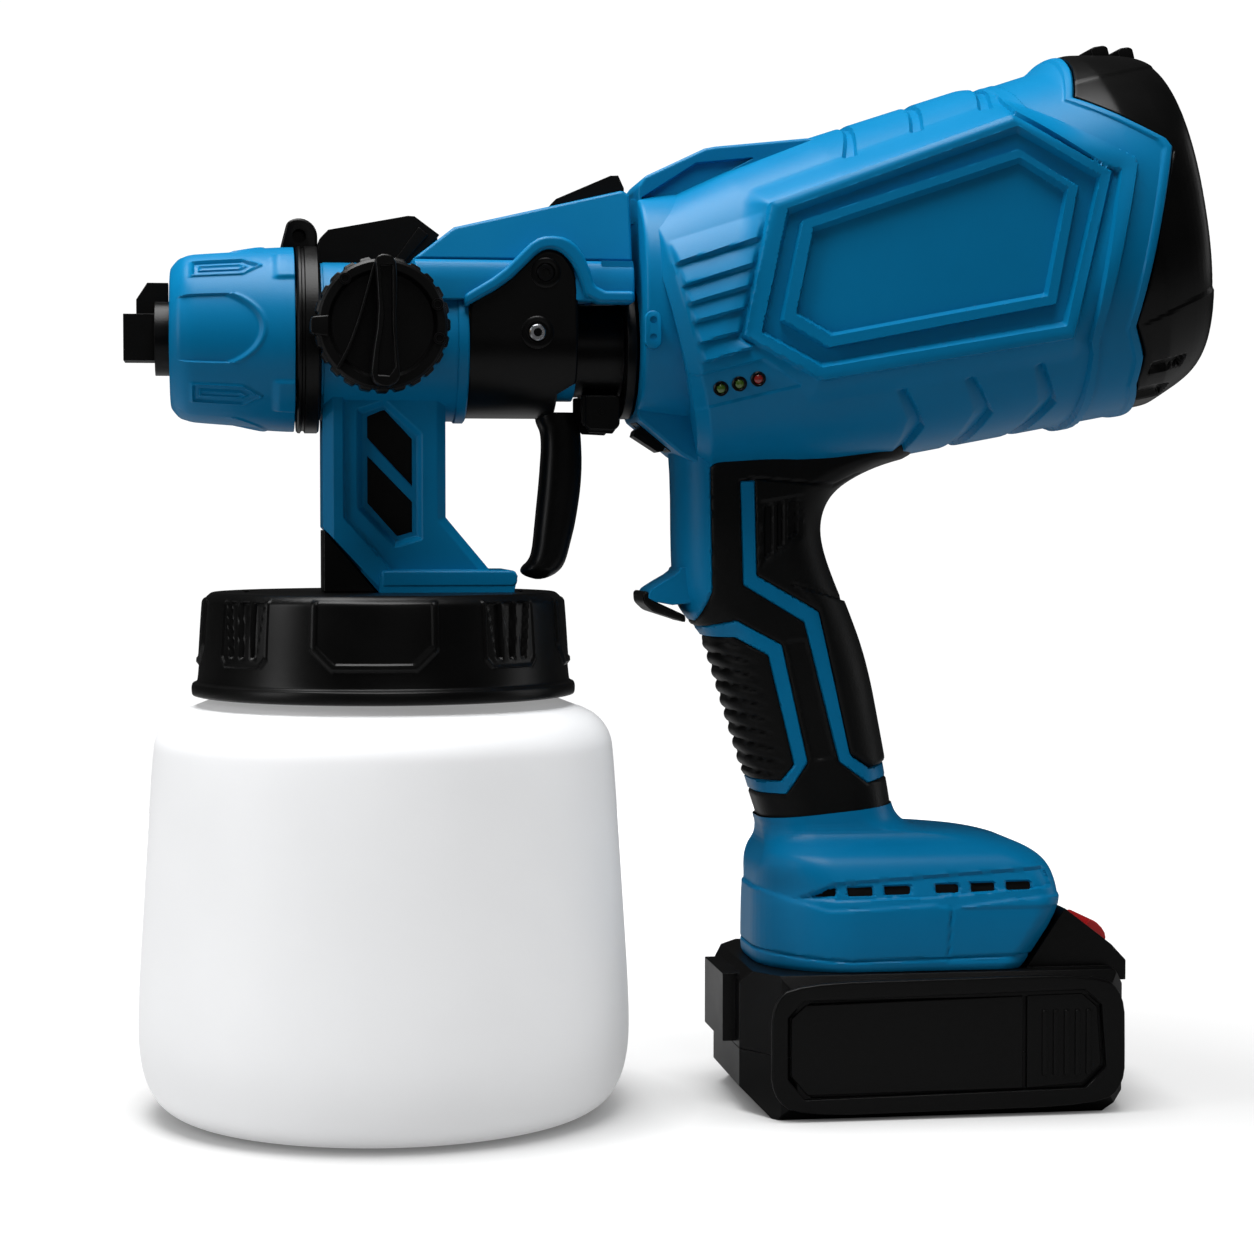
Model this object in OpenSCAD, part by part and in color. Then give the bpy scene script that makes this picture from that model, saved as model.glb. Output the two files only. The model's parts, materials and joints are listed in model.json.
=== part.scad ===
// Cordless turbine paint sprayer: a spray head with a hanging cup, a turbine body with a
// handle, and a slide-on battery pack. It stands on the cup and the pack.
// +X points to the back, away from the nozzle, +Z up; the origin is on the floor, on the cup's axis.

/* [Cup] */
// Largest outer radius of the cup
cup_r = 68; // [60:0.5:72]
// Height of the cup's rim above the floor
cup_h = 135.5; // [128:0.5:150]
// Wall of the cup
cup_wall = 2.2; // [1.6:0.1:3]
// Radius of the flat foot that the cup stands on
cup_foot_r = 54; // [45:0.5:58]
// Height of the widest part of the cup
belly_z = 27; // [20:1:35]
// How much narrower the cup is at its shoulder than at its belly
cup_draft = 4.6; // [2:0.2:8]
// Outer radius of the cup's threaded neck
cup_neck_r = 45.8; // [43:0.2:47]
// Height of the cup's neck, from shoulder to rim
cup_neck_h = 22.5; // [18:0.5:26]

/* [Collar and cover] */
// Outer radius of the collar's flange
collar_r = 53; // [51:0.2:56]
// Height of the collar
collar_h = 28.4; // [25:0.2:30]
// Radius of the cover's raised deck, on which the neck stands
deck_r = 37.7; // [35:0.1:39]
// Height of the deck above the cup's rim
deck_h = 7.9; // [7:0.1:9]
// Thickness of the rubber gasket
gasket_t = 1; // [0.6:0.1:2]
// Outer radius of the suction tube
tube_r = 4; // [3:0.1:5]
// Distance of the suction tube in front of the cup's axis
tube_x = 7; // [5:0.5:9]

/* [Spray head] */
// Height of the nozzle axis above the cover's deck
neck_rise = 69.1; // [64:0.1:75]
// Radius of the head's barrel
barrel_r = 22; // [21:0.1:22.6]
// Front end of the barrel, ahead of the cup's axis
barrel_front = 17.5; // [16:0.5:17.6]
// Back end of the barrel, behind the cup's axis
barrel_back = 21.5; // [20:0.5:21.5]
// Radius of the head's tail, inside the trigger saddle
tail_r = 16.5; // [15:0.1:16.8]
// Half width of the neck
neck_hw = 14; // [13:0.5:16]
// Thickness of the neck's blue wall
neck_wall = 2.6; // [2:0.1:3]

/* [Nozzle] */
// Largest radius of the nozzle nut
nut_r = 25.4; // [24:0.1:26]
// Front face of the nozzle nut, ahead of the cup's axis
nut_front = 58; // [57:0.2:60]
// Radius of the opening in the nut's lip
nut_mouth_r = 10.7; // [10.6:0.1:11.5]
// Outer radius of the threaded front sleeve
sleeve_r = 16.8; // [16:0.1:17.5]
// Outer radius of the pattern ring
ring_r = 25.6; // [25:0.1:27]
// Side of the air cap's square boss
boss_side = 12.6; // [12:0.2:13]
// Radius of the needle
needle_r = 1.5; // [1.2:0.1:1.6]

/* [Knob and trigger] */
// Radius of the flow knob
knob_r = 18; // [16:0.2:19]
// Distance from the head's middle to the knob's face
knob_face_y = 38; // [36:0.5:41]
// Thickness of each cheek of the trigger saddle
cheek_t = 3; // [2.2:0.1:3.4]
// Half width of the finger lever
lever_hw = 7; // [6:0.2:7.6]
// Distance from the trigger's pivot down to the needle driver
driver_drop = 15.8; // [14:0.2:16]

/* [Turbine body] */
// Tilt of the turbine barrel, back end up
tilt = 14.5; // [13:0.5:16]
// Radius of the barrel at its front edge
shell_r_front = 38; // [37:0.5:39]
// Radius of the barrel at its middle
shell_r_mid = 45.3; // [44.5:0.1:46]
// Radius of the barrel at its back edge
shell_r_back = 50.3; // [49.5:0.1:51]
// Wall of the blue shells
shell_wall = 2.6; // [2:0.1:3]
// Outer radius of the throat in front of the barrel
throat_r = 31; // [29:0.5:32]
// Front face of the turbine body, behind the cup's axis
body_front = 68.8; // [68.8:0.1:70]
// Radius of the impeller
impeller_r = 33; // [28:0.5:34]
// Number of impeller blades
blades = 9; // [6:1:12]
// Radius of the motor
motor_r = 17.5; // [16:0.5:18]

/* [Handle and battery] */
// Half width of the grip
grip_hw = 16.5; // [15:0.5:17]
// Thickness of the rubber grip
skin_t = 1.6; // [1.2:0.1:2]
// Half width of the battery foot
foot_hw = 32.5; // [31.5:0.5:34]
// Half width of the battery pack
pack_hw = 37.5; // [36.5:0.5:40]
// Height of the battery pack's main box
pack_h = 39.5; // [38:0.5:41]
// Radius of one battery cell
cell_r = 9.1; // [8.9:0.1:9.2]
// Distance from cell to cell
cell_pitch = 18.4; // [18.4:0.1:18.8]

/* [Hidden] */
$fn = 64;

// Clearances
run = 0.05;    // a shaft in its bore
fit = 0.3;     // pieces that slide or turn past each other
seat = 0.15;   // pieces that are fixed to each other
cut = 1;       // how far a cutting shape runs past the face it cuts

// Colours
blue = "#1f79a8";
black = "#17181a";
steel = "#b9bdc2";
brass = "#c49a4a";
rubber = "#26272a";
milk = "#eceeef";

// Heights, built up from the floor
gasket_z = cup_h;
cover_z = gasket_z + gasket_t;
cover_flange_t = 3;
deck_z = cup_h + deck_h;
axis_z = deck_z + neck_rise;
collar_top = deck_z - 0.9;
collar_z = collar_top - collar_h;
lip_z = cover_z + cover_flange_t + fit;

// Places along the nozzle axis
ring_x0 = -barrel_front - 6.5;
ring_x1 = -barrel_front - 0.4;
nut_back = ring_x0 - 0.4;
sleeve_x0 = -nut_front + 6.2;
cap_flange_r = sleeve_r - 0.2;
tail_x = 52;
flange_x0 = 65.5;
flange_x1 = 68.3;
inlet_dz = -2.5;
inlet_r = 12.8;
spigot_r = 13.6;
spigot_x1 = 84;
knob_x = -2;
knob_dz = 1.5;
stem_r = 3.5;
gland_r = 8;
pivot = [42.7, 17.3];
driver = [pivot[0] - 1.9, pivot[1] - driver_drop];
cheek_y = 18.6;
core_hw = cheek_y - 0.8;
saddle_bottom = -21.7;

// The turbine frame: u runs along the barrel's tilted axis, v across it
tb = [84, axis_z + 1.5];
shell_u0 = -7;
shell_u1 = 122;
throat_z = axis_z + 9.5;
fin_hw = 13;
handle_z = axis_z - 132;

// The battery pack and its foot
pack_x0 = 95;
pack_x1 = 202.5;
foot_z = pack_h + 0.4;
foot_x0 = 99.5;
foot_x1 = 184;
rail_hw = 26.5;
rail_neck = 20;
lip_t = 3.2;
rail_z = foot_z + lip_t + 0.4;
rail_top = rail_z + 3.4;
rail_x0 = foot_x0 + 8.7;
rail_x1 = 171;
cell_x = 114.5;
cell_len = 2 * pack_hw - 10;

// ---------- helpers ----------

// Cylinder along X, centred on the nozzle axis plus dz
module xcyl(x0, x1, r, dz = 0, r2 = -1) {
    translate([x0, 0, axis_z + dz]) rotate([0, 90, 0])
        cylinder(h = x1 - x0, r1 = r, r2 = r2 < 0 ? r : r2);
}

// Cylinder along Y from y0 to y1, at x and height z
module ycyl(x, z, y0, y1, r) {
    translate([x, y1, z]) rotate([90, 0, 0]) cylinder(h = y1 - y0, r = r);
}

// Side outline of [x, z] points, extruded across the machine from y0 to y1
module plate(points, y0, y1) {
    translate([0, y1, 0]) rotate([90, 0, 0]) linear_extrude(height = y1 - y0) polygon(points);
}

// The same outline on both sides of the middle plane
module slab(points, half) {
    plate(points, -half, half);
}

// Outline measured from the nozzle axis
function from_axis(points) = [for (p = points) [p[0], p[1] + axis_z]];

// Outline measured from the bottom of the handle
function from_handle(points) = [for (p = points) [p[0], p[1] + handle_z]];

// Children placed in the turbine frame
module turbine() {
    translate([tb[0], 0, tb[1]]) rotate([0, -tilt, 0]) children();
}

// Body of revolution about the turbine axis, from [u, r] points
module turn_u(points) {
    rotate([0, 90, 0]) rotate_extrude() polygon([for (p = points) [p[1], p[0]]]);
}

// Cylinder along the turbine axis
module ucyl(u0, u1, r) {
    translate([u0, 0, 0]) rotate([0, 90, 0]) cylinder(h = u1 - u0, r = r);
}

// Ring about the turbine axis
module uring(u0, u1, r_in, r_out) {
    difference() {
        ucyl(u0, u1, r_out);
        ucyl(u0 - cut, u1 + cut, r_in);
    }
}

// A point of the turbine frame in the machine's own X and Z
function tilted(u, v) = [tb[0] + u * cos(tilt) - v * sin(tilt), tb[1] + u * sin(tilt) + v * cos(tilt)];

// Round rod from point a to point b
module rod(a, b, r) {
    d = b - a;
    h = norm(d);
    translate(a) rotate([0, acos(d[2] / h), atan2(d[1], d[0])]) cylinder(h = h, r = r);
}

// ---------- cup ----------

shoulder_z = cup_h - cup_neck_h - 12.5;
shoulder_r = cup_r - cup_draft;
shoulder_in = 49;

function cup_outline(x0) = concat(
    [[x0, 0]],
    [for (a = [0:15:90]) [cup_foot_r + (cup_r - cup_foot_r) * sin(a), belly_z * (1 - cos(a))]],
    [for (a = [0:15:90]) [shoulder_in + (shoulder_r - shoulder_in) * cos(a), shoulder_z + 12.5 * sin(a)]],
    [[cup_neck_r, cup_h - cup_neck_h + 0.8], [cup_neck_r, cup_h], [x0, cup_h]]);

module cup() {
    color(milk) rotate_extrude() difference() {
        polygon(cup_outline(0));
        offset(delta = -cup_wall) polygon(cup_outline(-2 * cup_wall));
        translate([-cut, cup_h - cup_wall - cut]) square([cup_neck_r - cup_wall + cut, cup_wall + 2 * cut]);
    }
}

module cup_gasket() {
    color(rubber) translate([0, 0, gasket_z]) difference() {
        cylinder(h = gasket_t, r = cup_neck_r);
        translate([0, 0, -cut]) cylinder(h = gasket_t + 2 * cut, r = cup_neck_r - 5);
    }
}

module cup_cover() {
    color(black) difference() {
        union() {
            translate([0, 0, cover_z]) cylinder(h = cover_flange_t, r = cup_neck_r);
            translate([0, 0, cover_z]) cylinder(h = deck_z - cover_z, r = deck_r);
        }
        translate([-tube_x, 0, cover_z - cut]) cylinder(h = deck_z, r = tube_r + run);
        translate([valve_x, 0, cover_z - cut]) cylinder(h = valve_up + cut, r = valve_r + run);
    }
}

flute_count = 3;

// One group of tapering grooves in the collar's side
module flutes() {
    for (i = [0:flute_count - 1]) rotate([0, 0, (i - 1) * 11])
        translate([collar_r + 0.2, 0, collar_z + 9]) rotate([0, -5, 0]) cylinder(h = collar_h, r1 = 0.4, r2 = 2.2);
}

// One eight-sided recess in the collar's side
module collar_panel() {
    half = 18;
    low = collar_z + 6.5;
    high = collar_top - 2.4;
    points = [[-half, high], [half, high], [half, low + 7], [half - 6, low], [6 - half, low], [-half, low + 7]];
    rotate([0, 0, 90]) intersection() {
        difference() {
            translate([0, 0, low]) cylinder(h = high - low, r = collar_r + cut);
            translate([0, 0, low - cut]) cylinder(h = high - low + 2 * cut, r = collar_r - 2.2);
        }
        plate(points, -collar_r - cut, 0);
    }
}

module cup_collar() {
    inner = cup_neck_r + 0.8;
    side = collar_r - 0.6;
    color(black) difference() {
        rotate_extrude() polygon([
            [inner, collar_z], [collar_r, collar_z], [collar_r, collar_z + 4.2], [side, collar_z + 4.6],
            [side - 1.8, collar_top - 2], [side - 3.6, collar_top], [deck_r + fit, collar_top],
            [deck_r + fit, lip_z], [inner, lip_z]]);
        for (k = [0:2]) rotate([0, 0, 120 * k - 93]) {
            collar_panel();
            rotate([0, 0, 60]) flutes();
        }
    }
}

filter_r = 7.5;
filter_h = 14;
filter_z = 8;

module suction_tube() {
    color(milk) translate([-tube_x, 0, filter_z + 4]) difference() {
        cylinder(h = deck_z + 20 - filter_z - 4, r = tube_r);
        translate([0, 0, -cut]) cylinder(h = deck_z + 20, r = tube_r - 1.3);
    }
}

module suction_filter() {
    color(brass) translate([-tube_x, 0, filter_z]) difference() {
        cylinder(h = filter_h, r = filter_r);
        translate([0, 0, 4]) cylinder(h = filter_h, r = tube_r + run);
        for (k = [0:7]) rotate([0, 0, 45 * k]) translate([filter_r, 0, 3]) cylinder(h = filter_h - 5, r = 1.1);
    }
}

valve_x = 15;
valve_r = 3.4;
valve_up = 5.5;

module pressure_valve() {
    color(rubber) translate([valve_x, 0, cover_z - 6]) difference() {
        cylinder(h = 6 + valve_up, r = valve_r);
        translate([0, 0, 2]) cylinder(h = 6 + valve_up, r = 1.4);
    }
}

// ---------- spray head ----------

neck_front = -17;
neck_back = 16;
neck_cut_z = deck_z + 17.6;
plate_end = 35.5;

// Outline of the neck's blue shell, with its sloping front and its base plate
function neck_outline() = [
    [neck_front, axis_z - 14], [neck_front, neck_cut_z], [-2, deck_z], [plate_end - 1, deck_z],
    [plate_end, deck_z + 4.6], [28, deck_z + 5.4], [neck_back, deck_z + 20.2], [neck_back, axis_z - 14]];

core_x0 = neck_front + neck_wall;
core_x1 = neck_back - neck_wall;
core_top = axis_z - 18;

// The two windows in the neck's side, on either side of the sloping bar
function window_up() = from_axis([[-5.3, -20.8], [-0.6, -18.9], [7.3, -26.8], [7.3, -40.4], [-5.3, -26.8]]);
function window_low() = from_axis([[-5.3, -31.6], [7.3, -44.6], [7.3, -52.6], [2.8, -53.9], [-5.3, -44.9]]);

module neck_core() {
    color(black) difference() {
        union() {
            translate([core_x0 + seat, -neck_hw + neck_wall + seat, deck_z])
                cube([core_x1 - core_x0 - 2 * seat, 2 * (neck_hw - neck_wall - seat), core_top - deck_z - seat]);
            slab([[neck_front, deck_z], [neck_front, neck_cut_z - 0.4], [-2.5, deck_z]], neck_hw - 0.3);
        }
        translate([-tube_x, 0, deck_z - cut]) cylinder(h = 20 + cut, r = tube_r + run);
        translate([-tube_x, 0, deck_z]) cylinder(h = core_top, r = tube_r - 1.5);
    }
}

fairing_z = 20.8;
ridge = [[17, 29], [65.2, 40.4], [66.6, 38.8]];

module fairing() {
    hull() {
        slab(from_axis(concat(ridge, [[17, 28.6]])), 8);
        slab(from_axis([[7, fairing_z], [66.6, fairing_z], [66.6, fairing_z - 0.6], [7, fairing_z - 0.6]]), core_hw);
    }
    slab(from_axis([[7, 12], [7, fairing_z], [66.6, fairing_z], [66.6, 12]]), core_hw);
    low = inlet_dz + inlet_r + fit;
    slab(from_axis([[58, low], [58, fairing_z], [66.6, fairing_z], [66.6, low]]), 21);
}

latch_hw = 6;
latch_pivot = [57, 36];

module gun_body() {
    color(blue) difference() {
        union() {
            xcyl(-barrel_front, barrel_back, barrel_r);
            xcyl(barrel_back, tail_x, tail_r);
            fairing();
            slab(neck_outline(), neck_hw);
            slab([[-2, deck_z], [plate_end - 1, deck_z], [plate_end, deck_z + 4.6], [-2, deck_z + 4.6]], 17);
        }
        translate([core_x0, -neck_hw + neck_wall, deck_z - cut])
            cube([core_x1 - core_x0, 2 * (neck_hw - neck_wall), core_top - deck_z + cut]);
        slab(window_up(), neck_hw + cut);
        slab(window_low(), neck_hw + cut);
        translate([-tube_x, 0, core_top - cut]) cylinder(h = 18 + cut, r = tube_r - 1.5);
        xcyl(-barrel_front - cut, 26, needle_r + 0.5);
        xcyl(26, 34, 5);
        xcyl(34, tail_x + cut, 9);
        translate([driver[0] - 2.4, -tail_r - cut, axis_z + driver[1] - 2.6]) cube([9, 2 * (tail_r + cut), 5.2]);
        ycyl(knob_x, axis_z + knob_dz, -barrel_r - cut, -19.5, gland_r + seat);
        ycyl(knob_x, axis_z + knob_dz, -20, -5, stem_r + run);
        xcyl(flange_x0 - seat, 70, 18.8 + seat, inlet_dz);
        ycyl(pivot[0], axis_z + pivot[1], -core_hw - cut, core_hw + cut, pivot_r + 0.02);
        slab(from_axis([[44.6, 31.6], [44.6, 37], [67, 45], [67, 31.6]]), latch_hw + 0.6);
        ycyl(latch_pivot[0], axis_z + latch_pivot[1], -11, 11, 1.52);
    }
}

hub_r = 8;
tip_flange_x = sleeve_x0 + 2.6;

module front_sleeve() {
    color(black) difference() {
        xcyl(sleeve_x0, -barrel_front, sleeve_r);
        difference() {
            xcyl(sleeve_x0 - cut, -barrel_front - 5, sleeve_r - 3);
            xcyl(tip_flange_x, -barrel_front, hub_r);
        }
        xcyl(sleeve_x0 - cut, -barrel_front + cut, needle_r + 0.7);
        xcyl(sleeve_x0 - cut, tip_flange_x + 7, 4.5 + run);
    }
}

tip_r = 3.6;
cap_front = -nut_front - 12.4;

module fluid_tip() {
    color(steel) difference() {
        union() {
            xcyl(cap_front + 0.4, cap_front + 2.2, 2.2, 0, tip_r);
            xcyl(cap_front + 2.2, tip_flange_x - 2.5, tip_r);
            xcyl(tip_flange_x - 2.5, tip_flange_x, 7);
            xcyl(tip_flange_x, tip_flange_x + 7, 4.5);
        }
        xcyl(cap_front, tip_flange_x + 8, 0.8);
        xcyl(cap_front + 5, tip_flange_x + 8, needle_r + 0.4);
    }
}

flange_back = sleeve_x0 - 0.3;

module air_cap() {
    color(black) difference() {
        union() {
            xcyl(flange_back - 2.2, flange_back, cap_flange_r);
            xcyl(-nut_front - 4, flange_back, nut_mouth_r - 0.6);
            translate([cap_front, -boss_side / 2, axis_z - boss_side / 2])
                cube([8.6, boss_side, boss_side]);
            slab(from_axis([[-nut_front - 9, 4], [-nut_front - 9, 10.4], [-nut_front - 6, 15], [-nut_front - 0.4, 15],
                [-nut_front - 0.4, 4]]), 2.6);
        }
        xcyl(cap_front - cut, flange_back + cut, tip_r + fit);
    }
}

nut_lug_r = 26.2;

module nozzle_nut() {
    color(blue) difference() {
        union() {
            translate([-nut_front, 0, axis_z]) rotate([0, 90, 0]) rotate_extrude() polygon([
                [nut_mouth_r, 0], [18.6, 0], [nut_r - 2, 3.6], [nut_r, nut_front + nut_back],
                [nut_mouth_r, nut_front + nut_back]]);
            for (k = [0:3]) rotate_about_axis(90 * k + 180)
                plate(from_axis([[nut_back - 9, nut_r - 2], [nut_back - 6, nut_lug_r], [nut_back, nut_lug_r],
                    [nut_back, nut_r - 2]]), -3, 3);
        }
        xcyl(-nut_front + 2.5, nut_back + cut, sleeve_r + fit);
    }
}

// Children turned about the nozzle axis
module rotate_about_axis(a) {
    translate([0, 0, axis_z]) rotate([a, 0, 0]) translate([0, 0, -axis_z]) children();
}

module nozzle_seal() {
    color(rubber) difference() {
        xcyl(-nut_front + 2.6, -nut_front + 3.5, sleeve_r + 0.1);
        xcyl(-nut_front, -nut_front + 5, nut_mouth_r + 0.4);
    }
}

ear = [-23, 28];
ear_r = 5;

module pattern_ring() {
    color(black) difference() {
        union() {
            xcyl(ring_x0, ring_x1, ring_r);
            ycyl(ear[0], axis_z + ear[1], -3, 3, ear_r);
            slab(from_axis([[ear[0] - ear_r, ear[1]], [ear[0] - ear_r, ear[1] - 4], [ring_x0, ring_r - 4],
                [ring_x1, ring_r - 4], [ring_x1, ear[1]]]), 3);
        }
        xcyl(ring_x0 - cut, ring_x1 + cut, sleeve_r + fit);
        xcyl(ring_x0 - 9, ring_x0, nut_lug_r + 0.4);
        ycyl(ear[0], axis_z + ear[1], -4, 4, 1.8);
    }
}

module top_shroud() {
    color(black) difference() {
        slab(from_axis([[-17.8, 16], [-17.8, 26.6], [-15.3, 29.4], [6.4, 33.5], [8.2, 33.4], [15, 28.4],
            [6.6, 20.9], [6.6, 16]]), 8.5);
        xcyl(-30, 30, barrel_r + 0.1);
    }
}

module valve_gland() {
    color(brass) difference() {
        ycyl(knob_x, axis_z + knob_dz, -27.5, -19.5, gland_r);
        ycyl(knob_x, axis_z + knob_dz, -29, -18, stem_r + run);
    }
}

stem_out = 33;

module valve_stem() {
    color(steel) ycyl(knob_x, axis_z + knob_dz, -stem_out, -6, stem_r);
}

module flow_knob() {
    kz = axis_z + knob_dz;
    color(black) difference() {
        union() {
            ycyl(knob_x, kz, -knob_face_y, -ring_r - 0.8, knob_r);
            plate([[knob_x - 2.6, kz + 17.3], [knob_x + 2.9, kz + 17.3], [knob_x + 3.9, kz - 16],
                [knob_x - 3.9, kz - 16]], -knob_face_y - 6, -knob_face_y + 1);
            translate([knob_x - knob_r - 1.6, -knob_face_y + 1, kz - 1.5]) cube([6, 8, 3]);
        }
        ycyl(knob_x, kz, -28.5, -20, gland_r + 1.2);
        ycyl(knob_x, kz, -stem_out, -20, stem_r + 0.02);
        for (k = [0:11]) rotate_about_knob(30 * k + 15)
            ycyl(knob_x, kz + knob_r + 0.8, -knob_face_y - cut, -28, 1.8);
    }
}

// Children turned about the knob's axis
module rotate_about_knob(a) {
    kz = axis_z + knob_dz;
    translate([knob_x, 0, kz]) rotate([0, a, 0]) translate([-knob_x, 0, -kz]) children();
}

pivot_r = 2;
cheek_out = cheek_y + cheek_t;

function saddle_outline() = from_axis([
    [22, saddle_bottom], [22, 9.5], [30, 16], [38, 21.1], [42.8, 22.8], [47.3, 21.7], [49.7, 18.5],
    [50.7, 9.5], [50.7, saddle_bottom]]);

function lever_outline() = from_axis([
    [42, -19.2], [42.2, -22], [44.3, -25], [43.4, -37], [42.2, -50], [41.2, -58.5], [38.4, -61], [37.9, -63.4],
    [40.6, -65.2], [44.8, -65.5], [48.6, -63], [51, -56.4], [53.2, -46.5], [54.7, -36.9], [54.8, -30.5],
    [54.2, -24.3], [53.2, -20.4], [50.5, -19.2]]);

module trigger() {
    color(black) difference() {
        union() {
            for (s = [-1, 1]) plate(saddle_outline(), min(s * cheek_y, s * cheek_out), max(s * cheek_y, s * cheek_out));
            translate([24, -cheek_out, axis_z + saddle_bottom]) cube([22.5, 2 * cheek_out, 2.8]);
            slab(lever_outline(), lever_hw);
        }
        ycyl(pivot[0], axis_z + pivot[1], -cheek_out - cut, cheek_out + cut, pivot_r + run);
        ycyl(driver[0], axis_z + driver[1], -cheek_out - cut, cheek_out + cut, 1.6 + 0.02);
    }
}

module pivot_screws() {
    z = axis_z + pivot[1];
    color(steel) for (s = [-1, 1]) scale([1, s, 1]) difference() {
        union() {
            ycyl(pivot[0], z, 10, cheek_out + 0.3, pivot_r);
            ycyl(pivot[0], z, cheek_out + 0.3, cheek_out + 1.6, 3.3);
        }
        translate([pivot[0] - 0.5, cheek_out + 0.8, z - 4]) cube([1, 2, 8]);
    }
}

module driver_screws() {
    z = axis_z + driver[1];
    color(steel) for (s = [-1, 1]) scale([1, s, 1]) difference() {
        union() {
            ycyl(driver[0], z, needle_r + 0.4, cheek_out, 1.6);
            ycyl(driver[0], z, cheek_out, cheek_out + 1.6, 3.4);
        }
        translate([driver[0], cheek_out + 3, z]) rotate([90, 0, 0]) cylinder(h = 2.2, r = 1.9, $fn = 6);
    }
}

needle_tip_x = cap_front + 5.4;
needle_end = tail_x - 3.5;

module needle() {
    color(steel) {
        xcyl(needle_tip_x, needle_tip_x + 5, 0.7, 0, needle_r);
        xcyl(needle_tip_x + 5, needle_end, needle_r);
    }
}

collar_x0 = driver[0] + 1.8;

module needle_collar() {
    color(brass) difference() {
        xcyl(collar_x0, collar_x0 + 3, 6);
        xcyl(collar_x0 - cut, collar_x0 + 4, needle_r + 0.02);
    }
}

module needle_spring() {
    color(steel) difference() {
        xcyl(collar_x0 + 3.1, tail_x, 5);
        xcyl(collar_x0 + 2, tail_x + cut, 3.4);
    }
}

module needle_packing() {
    color(rubber) difference() {
        xcyl(26.1, 33, 4.9);
        xcyl(25, 34, needle_r + 0.03);
    }
}

module inlet_tube() {
    color(black) difference() {
        union() {
            xcyl(tail_x, flange_x0, inlet_r, inlet_dz);
            xcyl(flange_x0, flange_x1, 18.8, inlet_dz);
            xcyl(flange_x1, spigot_x1, spigot_r, inlet_dz);
        }
        xcyl(tail_x + 3, spigot_x1 + cut, spigot_r - 3, inlet_dz);
        difference() {
            xcyl(74, 77, spigot_r + cut, inlet_dz);
            xcyl(73, 78, spigot_r - 1, inlet_dz);
        }
    }
}

module inlet_seal() {
    color(rubber) difference() {
        xcyl(74.1, 76.9, spigot_r + 0.8, inlet_dz);
        xcyl(73, 78, spigot_r - 0.95, inlet_dz);
    }
}

module release_latch() {
    color(black) difference() {
        slab(from_axis([[46, 37.4], [47.3, 39], [62.4, 45.6], [64.6, 45.7], [66.2, 42.2], [66.2, 40.2],
            [60, 37.6], [59.5, 33.6], [54.5, 33.6], [54, 36.2], [46, 34.4]]), latch_hw);
        ycyl(latch_pivot[0], axis_z + latch_pivot[1], -latch_hw - cut, latch_hw + cut, 1.5 + run);
    }
}

module latch_pin() {
    color(steel) ycyl(latch_pivot[0], axis_z + latch_pivot[1], -10.5, 10.5, 1.5);
}

module latch_spring() {
    color(steel) translate([49.5, 0, axis_z + 31.6]) difference() {
        cylinder(h = 2.6, r = 2.4);
        translate([0, 0, -cut]) cylinder(h = 6, r = 1.6);
    }
}

module lock_block() {
    color(black) difference() {
        union() {
            translate([54.3, -16, axis_z - 16.2]) cube([11.7, 32, 3.4]);
            for (s = [-1, 1]) translate([54.3, s * 12.2 - 3.8, axis_z - 24.7]) cube([11.7, 7.6, 9]);
        }
        xcyl(50, 70, inlet_r + 0.05, inlet_dz);
        xcyl(flange_x0 - 0.05, 70, 18.8 + 0.05, inlet_dz);
    }
}

// ---------- turbine body ----------

// Barrel profile as [u, r], less a wall
function barrel_profile(w) = [
    [shell_u0 + w, 0], [shell_u0 + w, shell_r_front - 4 - w * 0.6], [shell_u0 + 3 + w * 0.6, shell_r_front - w],
    [20, shell_r_front + 4.3 - w], [46, shell_r_mid - w], [shell_u1, shell_r_back - w], [140, shell_r_back - w],
    [140, 0]];

// Back edge of the blue barrel as [u, v]
function back_edge(d) = [
    [124 + d, shell_r_back + 5.7], [118 + d, 44], [113.5 + d, 36.5], [132.4 + d, 18.9], [133.3 + d, 16.4], [113.5 + d, -27.6],
    [115.5 + d, -36], [114.5 + d, -42.5], [119 + d, -shell_r_back - 5.7]];

module barrel_clip(d) {
    slab(concat([[-60, -90], [-60, shell_r_back + 5.7]], back_edge(d), [[119 + d, -90]]), 60);
}

module barrel_outer() {
    turbine() intersection() {
        turn_u(barrel_profile(0));
        barrel_clip(0);
    }
}

function fin_outline(w) = from_axis([
    [body_front + w, 24], [body_front + w, 42.7 - w], [70.7 + w, 44.7 - w], [87.5, 52.7 - w], [90, 53.2 - w],
    [116, 56 - w], [128, 56 - w], [128, 24]]);

// Side outline of the handle, below the barrel, run on past its lower end by more
function handle_outline(more) = from_axis([
    [81, 2], [81, -31.5], [81, -64.7], [75, -66.6], [72.3, -68.4], [71.8, -71.8], [75.6, -75], [82.9, -77.3],
    [88.2, -80.2], [90.3, -83.1], [96, -102.5], [102.4, -123.6], [105.4, -132 - more], [143.2, -129 - more], [141.1, -117.6],
    [139, -104.5], [137.6, -94.8], [134.5, -85], [130.5, -74.9], [126.8, -65.5], [124, -57.5], [123.2, -51.5],
    [124.2, -46], [127, -41.3], [132, -37.5], [140, -33.9], [150, -31.5], [150, 2]]);

// The handle's rounded section: its front and back, and its corner radius
grip_u0 = -20;
grip_u1 = 28.3;
grip_r = 13;

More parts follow.
